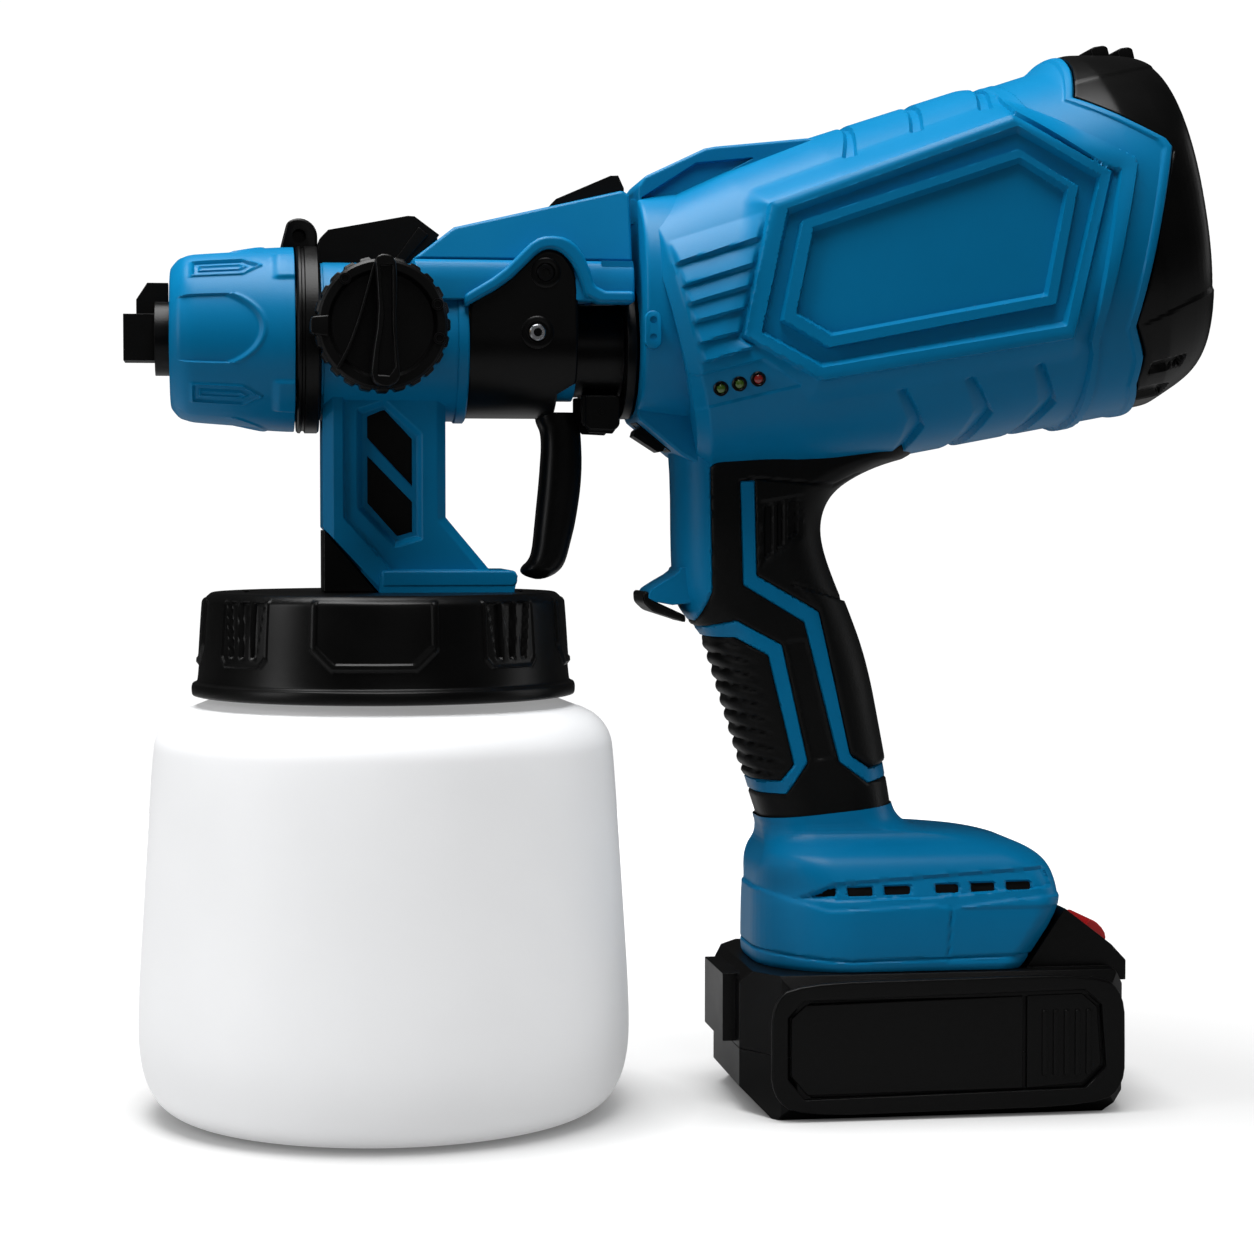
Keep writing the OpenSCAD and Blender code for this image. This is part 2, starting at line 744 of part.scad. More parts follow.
// Rounded section of the handle, run along its own slope
module handle_prism(w) {
    flat_y = grip_hw - grip_r;
    flat_u = grip_u1 - grip_u0 - 2 * grip_r;
    turbine() translate([0, 0, -150]) linear_extrude(height = 150) {
        for (u = [grip_u0 + grip_r, grip_u1 - grip_r], y = [-flat_y, flat_y]) translate([u, y]) circle(grip_r - w);
        translate([grip_u0 + w, -flat_y]) square([grip_u1 - grip_u0 - 2 * w, 2 * flat_y]);
        translate([grip_u0 + grip_r, -grip_hw + w]) square([flat_u, 2 * grip_hw - 2 * w]);
    }
}

module handle_side(w) {
    translate([0, grip_hw + cut, 0]) rotate([90, 0, 0]) linear_extrude(height = 2 * (grip_hw + cut))
        offset(delta = -w) polygon(handle_outline(w > 0 ? 8 : 0));
}

module handle_solid(w) {
    intersection() {
        handle_side(w);
        handle_prism(w);
    }
}

// Area of the handle that the rubber covers
function grip_area() = from_axis([
    [88.8, -34.9], [97.4, -28], [121, -28], [128, -29.5], [134, -32.5], [152, -38], [152, -134], [80, -134],
    [80, -77.9], [86, -77.9], [89.2, -69.2]]);

function strip_rear() = from_axis([
    [97.2, -38.6], [98.1, -67.3], [115.2, -77.6], [125.2, -116.5], [133.7, -122.5], [150, -119], [150, -115],
    [134.3, -118.6], [128.3, -114.6], [119.4, -74.8], [101.7, -64.8], [101.1, -38.6]]);

function pad_area(g) = from_axis([
    [78, -82.2 - g], [88, -82 - g], [95.8, -81.9 - g], [105.1 - g, -86.7 - g], [112.5 - g, -117.2],
    [108.8 - g, -121.9 + g], [78, -122.3 + g]]);

function strip_front() = from_axis([
    [78, -79.4], [86.6, -79.4], [96.1, -77.2], [108.8, -83.9], [116.2, -116.7], [110.3, -125.5], [78, -125.5]]);

// The layer that the rubber fills
module grip_skin() {
    difference() {
        intersection() {
            handle_solid(0);
            slab(grip_area(), grip_hw + cut);
        }
        handle_solid(skin_t);
        turbine() turn_u(barrel_profile(-0.1));
    }
}

module grip_sleeve() {
    color(black) difference() {
        grip_skin();
        slab(strip_rear(), grip_hw + cut);
        slab(strip_front(), grip_hw + cut);
    }
}

rib_count = 8;

module grip_pad() {
    color(black) difference() {
        intersection() {
            grip_skin();
            slab(pad_area(0.3), grip_hw + cut);
        }
        turbine() for (i = [0:rib_count - 1])
            translate([-24, -grip_hw - cut, -90 - 4.6 * i]) cube([11, 2 * (grip_hw + cut), 1.2]);
    }
}

rest_hw = 10;

function rest_outline() = from_axis([
    [70.9, -69.4], [71.1, -72.4], [73.6, -74.8], [81.6, -77.4], [83, -78], [83, -75.8], [82, -75.4],
    [74.4, -71.9], [72.4, -69]]);

module finger_rest() {
    color(black) slab(rest_outline(), rest_hw);
}

module finger_lip() {
    difference() {
        slab(from_axis([[82, -62], [81, -64.7], [75, -66.4], [72.6, -68.6], [74.6, -71.6], [82.2, -75.1],
            [88, -78], [89, -70]]), rest_hw);
        slab(grip_area(), grip_hw + cut);
    }
}

// Slope under the throat that carries the power switch
slope_a = 39.5;
slope_at = [69.6, -22.1];

module slope() {
    translate([slope_at[0], 0, axis_z + slope_at[1]]) rotate([0, slope_a, 0]) children();
}

function throat_under() = from_axis([
    [body_front, -8], [body_front, -21.6], slope_at, [81, -31.5], [100, -38], [100, -8]]);

switch_hw = 4;
switch_s0 = 0.2;
switch_len = 12.6;

// The handle's hard core, under the rubber
module handle_core() {
    intersection() {
        handle_solid(skin_t);
        slab(handle_outline(0), grip_hw + cut);
    }
}

module shell_outer() {
    barrel_outer();
    translate([0, 0, throat_z - axis_z]) xcyl(body_front, 104, throat_r);
    slab(fin_outline(0), fin_hw);
    slab(throat_under(), 14);
    difference() {
        handle_solid(0);
        slab(grip_area(), grip_hw + cut);
        slab(from_axis([[60, -64], [80.9, -64], [80.9, -90], [60, -90]]), grip_hw + cut);
    }
    handle_core();
    finger_lip();
}

module shell_inner() {
    w = shell_wall;
    turbine() turn_u(barrel_profile(w));
    translate([0, 0, throat_z - axis_z]) xcyl(body_front + w, 104, throat_r - w);
    slab(fin_outline(w), fin_hw - w);
    intersection() {
        handle_solid(skin_t + w);
        translate([80, -50, handle_z - 4]) cube([80, 100, 124]);
    }
}

motor_u0 = 52;
motor_u1 = 92;
mount_r = motor_r + 4;
cover_r = 40;
cover_u0 = 94;
cover_u1 = 116;

// Ribs that carry the motor's sleeve and the fan's cover
module shell_ribs() {
    turbine() intersection() {
        turn_u(barrel_profile(1));
        union() {
            for (u = [62, 79]) uring(u, u + 3, mount_r + seat, 60);
            uring(103, 106, cover_r + seat, 60);
        }
    }
}

// Screw places on the side, as [x, height from the nozzle axis]
screws = [[77, 33.5], [102, -92], [111, -123], [118, -8], [118, 36]];
boss_r = 4.2;
screw_r = 1.7;

module screw_bosses() {
    intersection() {
        shell_outer();
        for (p = screws) ycyl(p[0], axis_z + p[1], -60, 60, boss_r);
    }
}

led_v = -16.3;
led_u = [0, 4.8, 9.7];
led_r = 1.5;
led_y0 = 28;

// How far out the barrel's surface lies at u and v
function barrel_y(u, v) = sqrt(pow(shell_r_front + 4.3 * (u + 4) / 24, 2) - v * v);

module housing() {
    difference() {
        union() {
            difference() {
                shell_outer();
                shell_inner();
            }
            intersection() {
                shell_ribs();
                barrel_outer();
            }
            screw_bosses();
        }
        xcyl(body_front - cut, 90, socket_r + seat, inlet_dz);
        slope() translate([switch_s0 - seat, -switch_hw - 1.4 - seat, -6])
            cube([switch_len + 2 * seat, 2 * (switch_hw + 1.4 + seat), 18]);
        turbine() for (u = led_u) translate([u, -20, led_v]) rotate([90, 0, 0]) cylinder(h = 30, r = led_r + 0.1);
        for (p = screws) {
            ycyl(p[0], axis_z + p[1], -9, 60, screw_r + run);
            ycyl(p[0], axis_z + p[1], 9, 60, 3.2);
        }
    }
}

// Wider than half the body
half_y = 2 * shell_r_back;

module housing_left() {
    color(blue) intersection() {
        housing();
        translate([50, -half_y, 0]) cube([220, half_y - 0.03, 400]);
    }
}

module housing_right() {
    color(blue) intersection() {
        housing();
        translate([50, 0.03, 0]) cube([220, half_y, 400]);
    }
}

module housing_screws() {
    color(steel) for (p = screws) {
        ycyl(p[0], axis_z + p[1], -8.5, 9, screw_r);
        difference() {
            ycyl(p[0], axis_z + p[1], 9, 11, 3.1);
            ycyl(p[0], axis_z + p[1], 10, 12, 1.4);
        }
    }
}

socket_r = 18.3;

module inlet_socket() {
    color(black) difference() {
        xcyl(body_front, 89, socket_r, inlet_dz);
        xcyl(body_front - cut, 90, spigot_r + 1.1, inlet_dz);
    }
}

// Back cap profile as [u, r]
function cap_profile() = [
    [100, 0], [100, shell_r_back], [126, shell_r_back - 0.2], [134, shell_r_back - 2],
    [139.4, shell_r_back - 5.4], [142.8, shell_r_back - 11], [145.4, 28], [146.6, 14], [147, 0]];

tongue_r = shell_r_back - shell_wall - fit;
tongue_in = tongue_r - 2.6;

// The hollow inside the back cap, as [u, r]
function cap_hollow() = [
    [90, 0], [90, tongue_in], [129.5, tongue_in], [137, shell_r_back - 8.6], [140, shell_r_back - 13.4], [142.6, 27.4],
    [143.9, 14], [144.3, 0]];

vent_count = 16;

module rear_cap() {
    color(black) turbine() difference() {
        union() {
            difference() {
                turn_u(cap_profile());
                barrel_clip(fit);
            }
            turn_u([[112, tongue_in - 0.5], [112, tongue_r - 0.7], [shell_u1, tongue_r], [129, tongue_r],
                [129, tongue_in - 0.5]]);
            for (rib = [[130.8, 0.5], [136.4, 3.2]]) translate([rib[0], -7, shell_r_back - 10.3])
                cube([4.2, 14, 10.3 - rib[1]]);
        }
        turn_u(cap_hollow());
        for (k = [0:vent_count - 1]) rotate([k * 360 / vent_count, 0, 0])
            translate([136, -1.4, 14]) cube([20, 2.8, 16]);
        for (s = [-1, 1], v = [-34.5, -41]) translate([119, s * 30 - 14, v]) cube([10, 28, 2.4]);
    }
}

module air_filter() {
    color("#3a3c3f") turbine() ucyl(shell_u1 - 1, shell_u1 + 7, tongue_in - 0.2);
}

module fan_cover() {
    color(black) turbine() difference() {
        ucyl(cover_u0, cover_u1, cover_r);
        ucyl(cover_u0 + 2.5, cover_u1 - 2.5, cover_r - 3);
        ucyl(cover_u0 - cut, cover_u0 + 3, motor_r + 2.5);
        ucyl(cover_u1 - 3, cover_u1 + cut, 15);
    }
}

shaft_r = 2.5;
disc_u = 99.5;

module impeller() {
    color(milk) turbine() difference() {
        union() {
            ucyl(disc_u, disc_u + 2.2, impeller_r);
            ucyl(disc_u, disc_u + 11, 6);
            for (k = [0:blades - 1]) rotate([k * 360 / blades, 0, 0])
                translate([disc_u + 2, -0.8, 8]) rotate([22, 0, 0]) cube([8, 1.6, impeller_r - 11]);
        }
        ucyl(disc_u - cut, disc_u + 12, shaft_r + 0.02);
    }
}

bearing_r = 8;

module motor_can() {
    color(steel) turbine() difference() {
        ucyl(motor_u0, motor_u1, motor_r);
        ucyl(motor_u0 - cut, motor_u0 + 5, bearing_r + 0.02);
        ucyl(motor_u1 - 5, motor_u1 + cut, bearing_r + 0.02);
        ucyl(motor_u0 + 7, motor_u1 - 7, motor_r - 2.5);
        ucyl(motor_u0 - cut, motor_u1 + cut, shaft_r + 1);
    }
}

module rotor_shaft() {
    color(steel) turbine() {
        ucyl(motor_u0 - 2, disc_u + 13, shaft_r);
        ucyl(motor_u0 + 10, motor_u1 - 10, motor_r - 3.5);
    }
}

module bearings() {
    color(steel) turbine() for (u = [motor_u0, motor_u1 - 5]) uring(u, u + 5, shaft_r + 0.03, bearing_r);
}

module motor_mount() {
    color(rubber) turbine() uring(60, 84, motor_r + 0.05, mount_r);
}

module control_board() {
    color("#1d5b3a") turbine() translate([-1.8, -led_y0, -20.5]) cube([25, 1.6, 10]);
}

module led(u) {
    turbine() translate([u, -led_y0, led_v]) rotate([90, 0, 0])
        cylinder(h = barrel_y(u, led_v) + 0.5 - led_y0, r = led_r);
}

module leds_green() {
    color("#1f8a3c") {
        led(led_u[0]);
        led(led_u[1]);
    }
}

module led_red() {
    color("#b3261e") led(led_u[2]);
}

rocker_at = [6.6, 0.6];

module power_switch() {
    color(black) slope() {
        slab([[2.2, -3.4], [1.6, -2], [2.2, 0.6], [5, 1.6], [9.4, 2.4], [10.6, 2.4], [11.2, -1.4], [10.4, -2.4]],
            switch_hw);
        ycyl(rocker_at[0], rocker_at[1], -switch_hw - 1, switch_hw + 1, 0.9);
    }
}

module switch_body() {
    s1 = switch_s0 + switch_len;
    color(black) slope() difference() {
        slab([[switch_s0, -0.3], [switch_s0, 0.9], [2.6, 3], [s1, 9], [s1, -0.3]], switch_hw + 1.4);
        slab([[0.9, -2], [0.9, 0.9], [2.9, 2.3], [9, 4], [11.9, 4.4], [11.9, -2]], switch_hw + fit);
        ycyl(rocker_at[0], rocker_at[1], -switch_hw - 1.1, switch_hw + 1.1, 0.9 + run);
    }
}

lead_r = 1.3;

module power_leads() {
    end = tilted(motor_u0 - 1.3, -12);
    for (y = [-4, 4]) {
        route = [[130, y, foot_z + 22], [125, y, handle_z + 8], [112, y, axis_z - 66], [106, y, axis_z - 34],
            [end[0], y, end[1]]];
        color(y < 0 ? "#a5201c" : "#202124")
            for (i = [0:len(route) - 2]) rod(route[i], route[i + 1] + (i < 3 ? 1 : 0) * lead_r
                * (route[i + 1] - route[i]) / norm(route[i + 1] - route[i]), lead_r);
    }
}

// ---------- battery foot ----------

function foot_side(w) = [
    [foot_x0 + w, foot_z], [foot_x0 + w, foot_z + 21 - w * 0.5], [101.5 + w, foot_z + 28 - w], [105.2 + w, foot_z + 32.5],
    [105.8 + w, handle_z - 0.2 + (w > 0 ? cut : 0)], [143 - w, handle_z + 2.9 + (w > 0 ? cut : 0)], [145, foot_z + 38.6 - w],
    [149, foot_z + 35.9 - w], [166, foot_z + 35.4 - w], [176 - w * 0.4, foot_z + 31.6 - w],
    [182 - w, foot_z + 27.6 - w * 0.6], [foot_x1 - w, foot_z + 16.1], [173 - w, foot_z]];

function foot_front(w) = let (h = foot_hw - w) [
    [-h, foot_z - (w > 0 ? cut : 0)], [-h, foot_z + 17], [-h + 1.5, foot_z + 20 - w * 0.5], [-22 + w * 0.5, foot_z + 29.1 - w * 0.5],
    [-17.2 + w, foot_z + 35], [-17 + w, foot_z + 60], [17 - w, foot_z + 60], [17.2 - w, foot_z + 35],
    [22 - w * 0.5, foot_z + 29.1 - w * 0.5], [h - 1.5, foot_z + 20 - w * 0.5], [h, foot_z + 17],
    [h, foot_z - (w > 0 ? cut : 0)]];

module foot_solid(w) {
    intersection() {
        slab(foot_side(w), foot_hw + cut);
        translate([foot_x0, 0, 0]) rotate([90, 0, 90]) linear_extrude(height = 90) polygon(foot_front(w));
        linear_extrude(height = 300) union() {
            translate([foot_x0 + 26, -foot_hw + w]) square([80, 2 * foot_hw - 2 * w]);
            translate([foot_x0 + w, -foot_hw + 26]) square([80, 2 * foot_hw - 52]);
            for (s = [-1, 1]) translate([foot_x0 + 26, s * (foot_hw - 26)]) circle(26 - w);
        }
    }
}

foot_vents = 5;
shelf_z = foot_z + 18;

module battery_foot() {
    color(blue) difference() {
        union() {
            difference() {
                foot_solid(0);
                foot_solid(shell_wall);
            }
            intersection() {
                foot_solid(1);
                union() {
                    translate([104, -40, shelf_z]) cube([62, 80, 2.4]);
                    for (s = [-1, 1]) translate([106, s > 0 ? rail_neck + fit : -rail_neck - fit - 11, foot_z])
                        cube([62, 11, lip_t]);
                }
            }
        }
        translate([124, -7, shelf_z - cut]) cube([12, 14, 6]);
        translate([160, -rail_neck - fit, foot_z - cut])
            cube([40, 2 * (rail_neck + fit), rail_top + fit - foot_z + cut]);
        translate([160, -rail_hw - fit, rail_z - fit])
            cube([40, 2 * (rail_hw + fit), rail_top - rail_z + 2 * fit]);
        for (k = [0:foot_vents - 1]) translate([124.5 + 10.4 * k, -foot_hw - cut, foot_z + 20.2 + 0.35 * k])
            cube([7.6, 2 * foot_hw + 2 * cut, 1.9]);
    }
}

blade_x = 128;

module terminal_block() {
    base = rail_top + fit;
    color(black) translate([116, -17, base]) cube([44, 34, shelf_z - base]);
    color(brass) for (y = [-12, 0, 12]) translate([blade_x, y - 0.5, pack_h + 0.8]) cube([20, 1, base - pack_h]);
}

// ---------- battery pack ----------

function pack_plan(w) = [
    [pack_x0 + w, -21 + w * 0.3], [98.2 + w, -26 + w * 0.5], [104 + w * 0.7, -pack_hw + 2.5 + w * 0.7],
    [108 + w * 0.3, -pack_hw + w], [pack_x1 - 7, -pack_hw + w], [pack_x1 - 2.2 - w * 0.7, -pack_hw + 4.6 + w * 0.5],
    [pack_x1 - w, -25], [pack_x1 - w, 25], [pack_x1 - 2.2 - w * 0.7, pack_hw - 4.6 - w * 0.5],
    [pack_x1 - 7, pack_hw - w], [108 + w * 0.3, pack_hw - w], [104 + w * 0.7, pack_hw - 2.5 - w * 0.7],
    [98.2 + w, 26 - w * 0.5], [pack_x0 + w, 21 - w * 0.3]];

function pack_side(w) = [
    [pack_x0 + w, 7], [pack_x0 + 7 + w * 0.5, w], [pack_x1 - 8, w], [pack_x1 - w, 7.5], [pack_x1 - w, pack_h - 7.5],
    [pack_x1 - 5, pack_h - w], [pack_x0 + 3, pack_h - w], [pack_x0 + w, pack_h - 3.5]];

function pack_front(w) = let (h = pack_hw - w) [
    [-h, 5], [-h + 3.5, w], [h - 3.5, w], [h, 5], [h, pack_h - 5], [h - 3, pack_h - w], [-h + 3, pack_h - w],
    [-h, pack_h - 5]];

module pack_solid(w) {
    intersection() {
        slab(pack_side(w), pack_hw + cut);
        translate([pack_x0 - 4, 0, 0]) rotate([90, 0, 90]) linear_extrude(height = 120) polygon(pack_front(w));
        linear_extrude(height = pack_h) polygon(pack_plan(w));
    }
}

split_z = 17.5;
cell_z = 19.5;
pack_wall = 2.2;

module pack_slice(z0, z1) {
    intersection() {
        children();
        translate([80, -60, z0]) cube([140, 120, z1 - z0]);
    }
}

// Recessed panel in each side of the pack
module side_recess() {
    for (s = [-1, 1]) plate([[112, 6.6], [pack_x1 - 14, 6.6], [pack_x1 - 8.5, 11.4], [pack_x1 - 8.5, pack_h - 10.4],
        [pack_x1 - 13, pack_h - 6.6], [112, pack_h - 6.6], [109, pack_h - 9.6], [109, 9.6]],
        min(s * (pack_hw - 0.9), s * (pack_hw + cut)), max(s * (pack_hw - 0.9), s * (pack_hw + cut)));
}

module cells(r, extra) {
    for (i = [0:4]) ycyl(cell_x + cell_pitch * i, cell_z, -cell_len / 2 - extra, cell_len / 2 + extra, r);
}

module pack_lower() {
    color(black) difference() {
        pack_slice(0, split_z) union() {
            difference() {
                pack_solid(0);
                pack_solid(pack_wall);
            }
            for (s = [-1, 1]) intersection() {
                pack_solid(0.5);
                translate([102, s * 22 - 2, 1]) cube([pack_x1 - 104, 4, cell_z - 3]);
            }
        }
        cells(cell_r + seat, 0.3);
        side_recess();
    }
}

block_top = [[174, 0], [184.9, 16.3], [198.3, 6], [202.5, 1.5], [202.5, -4], [174, -4]];
button_dir = [-0.6, 0, -0.8];
button_hw = 11;
button_outline = [[189.2, 10.4], [190.6, 13.6], [193, 13.9], [202.2, 6.6], [203, 4.2], [200.4, 2]];
button_pocket = [[186.8, 7.7], [198.5, -1.1], [199.3, -0.9], [204.5, 3.4], [207, 8], [195, 19], [189.5, 14.1]];
button_seat = [194.8, 0, pack_h + 6.2];

function above_pack(points) = [for (p = points) [p[0], p[1] + pack_h]];

module pack_upper() {
    color(black) difference() {
        union() {
            pack_slice(split_z + 0.05, pack_h) difference() {
                pack_solid(0);
                pack_solid(pack_wall);
            }
            slab(above_pack(block_top), pack_hw - 8);
            translate([rail_x0, -rail_neck, pack_h - 1])
                cube([rail_x1 - rail_x0, 2 * rail_neck, rail_top - pack_h + 1]);
            translate([rail_x0 + 7, -rail_hw, rail_z])
                cube([rail_x1 - rail_x0 - 7, 2 * rail_hw, rail_top - rail_z]);
            translate([pack_x0 - 3.6, -15, split_z + 1]) cube([8, 30, pack_h - split_z - 3]);
        }
        slab(above_pack(button_pocket), button_hw + 0.5);
        rod(button_seat + 6.6 * button_dir, button_seat, 3);
        for (y = [-12, 0, 12]) translate([100, y - 1.2, pack_h + 0.4]) cube([52, 2.4, 12]);
        side_recess();
    }
}

module pack_cells() {
    color("#3c6fb0") cells(cell_r, 0);
}

module release_button() {
    color("#c8201c") slab(above_pack(button_outline), button_hw);
}

module button_spring() {
    color(steel) rod(button_seat + 6.5 * button_dir, button_seat + 0.1 * button_dir, 2.6);
}

// ---------- what is drawn ----------

gun_body();
neck_core();
front_sleeve();
fluid_tip();
air_cap();
nozzle_nut();
nozzle_seal();
pattern_ring();
top_shroud();
flow_knob();
valve_stem();
valve_gland();
trigger();
pivot_screws();
driver_screws();
needle();
needle_collar();
needle_spring();
needle_packing();
inlet_tube();
inlet_seal();
release_latch();
latch_pin();
latch_spring();
lock_block();
cup_cover();
cup_gasket();
cup_collar();
cup();
suction_tube();
suction_filter();
pressure_valve();
housing_left();
housing_right();
inlet_socket();
rear_cap();
air_filter();
fan_cover();
impeller();
motor_can();
rotor_shaft();
bearings();
motor_mount();
control_board();
leds_green();
led_red();
power_switch();
switch_body();
grip_sleeve();
grip_pad();
finger_rest();
housing_screws();
power_leads();
battery_foot();
terminal_block();
pack_upper();
pack_lower();
pack_cells();
release_button();
button_spring();
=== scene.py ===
# %% [markdown]
# # Dressing a cordless paint sprayer
# The sprayer is a blue spray head that hangs over a milky cup, a tilted turbine barrel
# behind it, and a pistol grip that ends in a battery. The solids come from a packed
# construction model, in metres, with the nozzle towards -X and the floor at z = 0.
# This lesson gives each solid the moulded shapes and finishes of the real tool.

# %% Load the construction model
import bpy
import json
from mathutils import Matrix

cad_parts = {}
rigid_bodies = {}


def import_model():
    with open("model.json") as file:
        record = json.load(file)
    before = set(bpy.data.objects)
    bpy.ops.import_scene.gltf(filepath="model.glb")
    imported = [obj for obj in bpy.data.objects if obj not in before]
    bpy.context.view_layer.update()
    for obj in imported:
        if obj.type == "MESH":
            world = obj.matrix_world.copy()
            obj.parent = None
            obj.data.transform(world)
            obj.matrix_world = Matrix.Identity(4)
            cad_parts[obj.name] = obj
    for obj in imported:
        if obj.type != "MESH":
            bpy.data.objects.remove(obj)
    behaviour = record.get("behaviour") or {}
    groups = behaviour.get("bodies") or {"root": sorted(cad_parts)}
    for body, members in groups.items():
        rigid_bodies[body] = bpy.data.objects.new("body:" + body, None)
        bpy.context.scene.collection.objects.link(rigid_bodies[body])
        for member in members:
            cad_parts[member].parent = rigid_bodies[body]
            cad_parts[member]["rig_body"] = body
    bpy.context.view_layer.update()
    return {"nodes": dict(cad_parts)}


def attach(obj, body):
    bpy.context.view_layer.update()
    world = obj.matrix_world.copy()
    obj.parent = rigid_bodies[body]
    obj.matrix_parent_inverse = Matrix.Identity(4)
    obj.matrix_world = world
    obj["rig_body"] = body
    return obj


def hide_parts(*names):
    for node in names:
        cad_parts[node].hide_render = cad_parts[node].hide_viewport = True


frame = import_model()

# %% Tools for numbers and meshes
import json
import math

import bmesh
import bpy
import numpy as np
from mathutils import Matrix, Vector

MM = 0.001
SIDES = (-1, 1)
scene = bpy.context.scene

# %% [markdown]
# ## Camera
# A long lens about 0.8 m away keeps the tool almost free of perspective. It looks a
# little from the nozzle's side, and very slightly down.

# %% Camera
LENS_LENGTH = 80.38
SENSOR_WIDTH = 36
CAMERA_PLACE = (-0.04121, -0.77637, 0.1631)
LOOK_AT = (0.0679, 0, 0.13314)

lens = bpy.data.cameras.new("lens")
lens.lens, lens.sensor_width = LENS_LENGTH, SENSOR_WIDTH
lens.clip_start, lens.clip_end = 0.05, 20
camera = bpy.data.objects.new("camera", lens)
scene.collection.objects.link(camera)
camera.location = CAMERA_PLACE
look = Vector(LOOK_AT) - camera.location
camera.rotation_euler = look.to_track_quat("-Z", "Y").to_euler()
scene.camera = camera
print("camera to middle of the tool:", round(look.length, 3), "m")

# %% [markdown]
# ## Floor and light
# The tool stands on a plain pale floor between large soft lamps. The lamps stay at a
# plain level; the floor and the world only look white to the camera, so the object
# keeps its colours and its soft shadow. Close to what stands on it an ambient occlusion
# node takes that white away from the floor: a painted dark contact shadow.

# %% Short ways to add and link nodes
def new_material(name):
    """A material with an empty node tree, and that tree."""
    material = bpy.data.materials.new(name)
    material.use_nodes = True
    material.node_tree.nodes.clear()
    return material, material.node_tree

def add_node(tree, kind, operation=None, **values):
    """A node with its operation and the values of its free inputs, _ standing for a space."""
    node = tree.nodes.new(kind)
    if operation:
        node.operation = operation
    for label, value in values.items():
        node.inputs[label.replace("_", " ")].default_value = value
    return node

def wire(tree, *links):
    """Links, each given as a node, its output, the next node and its input."""
    for source, output, target, entry in links:
        tree.links.new(source.outputs[output], target.inputs[entry])

# %% Floor that looks white and keeps the shadow
FLOOR_X = (-0.9, 1.0)
FLOOR_Y = (-0.45, 0.8)
FLOOR_GREY = 0.4
PAINTED_SHADOW_REACH = 0.024

floor_paint, tree = new_material("floor_paint")
matt = add_node(tree, "ShaderNodeBsdfDiffuse", Color=(FLOOR_GREY, FLOOR_GREY, FLOOR_GREY, 1))
glow = add_node(tree, "ShaderNodeEmission")
ray = add_node(tree, "ShaderNodeLightPath")
seen = add_node(tree, "ShaderNodeMath", "MAXIMUM")
lift = add_node(tree, "ShaderNodeMath", "MULTIPLY")
place = add_node(tree, "ShaderNodeTexCoord")
split = add_node(tree, "ShaderNodeSeparateXYZ")
far = add_node(tree, "ShaderNodeMapRange", From_Min=0.2, From_Max=0.7, To_Min=0.58, To_Max=1.1)
# Ambient occlusion lowers the floor's glow close to the tool: a painted contact shadow.
painted_shadow_ao = add_node(tree, "ShaderNodeAmbientOcclusion", Distance=PAINTED_SHADOW_REACH)
painted_contact_shadow = add_node(tree, "ShaderNodeMath", "MULTIPLY")
both = add_node(tree, "ShaderNodeAddShader")
out = add_node(tree, "ShaderNodeOutputMaterial")
wire(tree,
     (place, "Object", split, 0),
     (split, "Y", far, "Value"),
     (far, 0, painted_contact_shadow, 0),
     (painted_shadow_ao, "AO", painted_contact_shadow, 1),
     (ray, "Is Camera Ray", seen, 0),
     (ray, "Is Transmission Ray", seen, 1),
     (seen, 0, lift, 0),
     (painted_contact_shadow, 0, lift, 1),
     (lift, 0, glow, "Strength"),
     (matt, 0, both, 0),
     (glow, 0, both, 1),
     (both, 0, out, "Surface"))

(left, right), (front, back) = FLOOR_X, FLOOR_Y
floor_mesh = bpy.data.meshes.new("floor")
corners = [(left, front, 0), (right, front, 0), (right, back, 0), (left, back, 0)]
floor_mesh.from_pydata(corners, [], [(0, 1, 2, 3)])
floor_mesh.materials.append(floor_paint)
floor = bpy.data.objects.new("floor", floor_mesh)
scene.collection.objects.link(floor)
print("floor:", round(right - left, 2), "by", round(back - front, 2), "m")

# %% World and lamps
world = bpy.data.worlds.new("studio")
scene.world = world
world.use_nodes = True
tree = world.node_tree
tree.nodes.clear()
ray = add_node(tree, "ShaderNodeLightPath")
soft = add_node(tree, "ShaderNodeBackground", Strength=0.03)
white = add_node(tree, "ShaderNodeBackground", Color=(1, 1, 1, 1), Strength=1.05)
pick = add_node(tree, "ShaderNodeMixShader")
out = add_node(tree, "ShaderNodeOutputWorld")
wire(tree,
     (ray, "Is Camera Ray", pick, "Fac"),
     (soft, 0, pick, 1),
     (white, 0, pick, 2),
     (pick, 0, out, "Surface"))

def lamp(name, place, target, width, height, power):
    """A soft box that looks at target, with its sizes in metres and its power in watts."""
    light = bpy.data.lights.new(name, "AREA")
    light.shape = "RECTANGLE"
    light.size, light.size_y = width, height
    light.energy = power
    holder = bpy.data.objects.new(name, light)
    scene.collection.objects.link(holder)
    holder.location = place
    aim = Vector(target) - Vector(place)
    holder.rotation_euler = aim.to_track_quat("-Z", "Y").to_euler()

lamp("top_softbox", (-0.1, -0.1, 1.15), (0.07, 0.0, 0.1), 1.1, 0.5, 23)
lamp("left_softbox", (-1.3, -0.45, 0.6), (0.0, 0, 0.15), 0.4, 1.0, 7)
lamp("right_softbox", (1.45, 0.0, 0.5), (0.15, 0, 0.15), 0.4, 1.0, 3)
lamp("front_softbox", (0.3, -1.7, 0.7), (0.07, 0, 0.14), 0.9, 0.5, 0.8)
scene.view_settings.view_transform = "Standard"

# %% [markdown]
# ## Effects that several finishes share
# Moulded plastic is never quite flat: the mould leaves a fine spark-eroded grain, and
# handling leaves slightly shinier patches. Both are shader groups, so each finish only
# gives its own sizes and depths. They read Object coordinates, in metres.

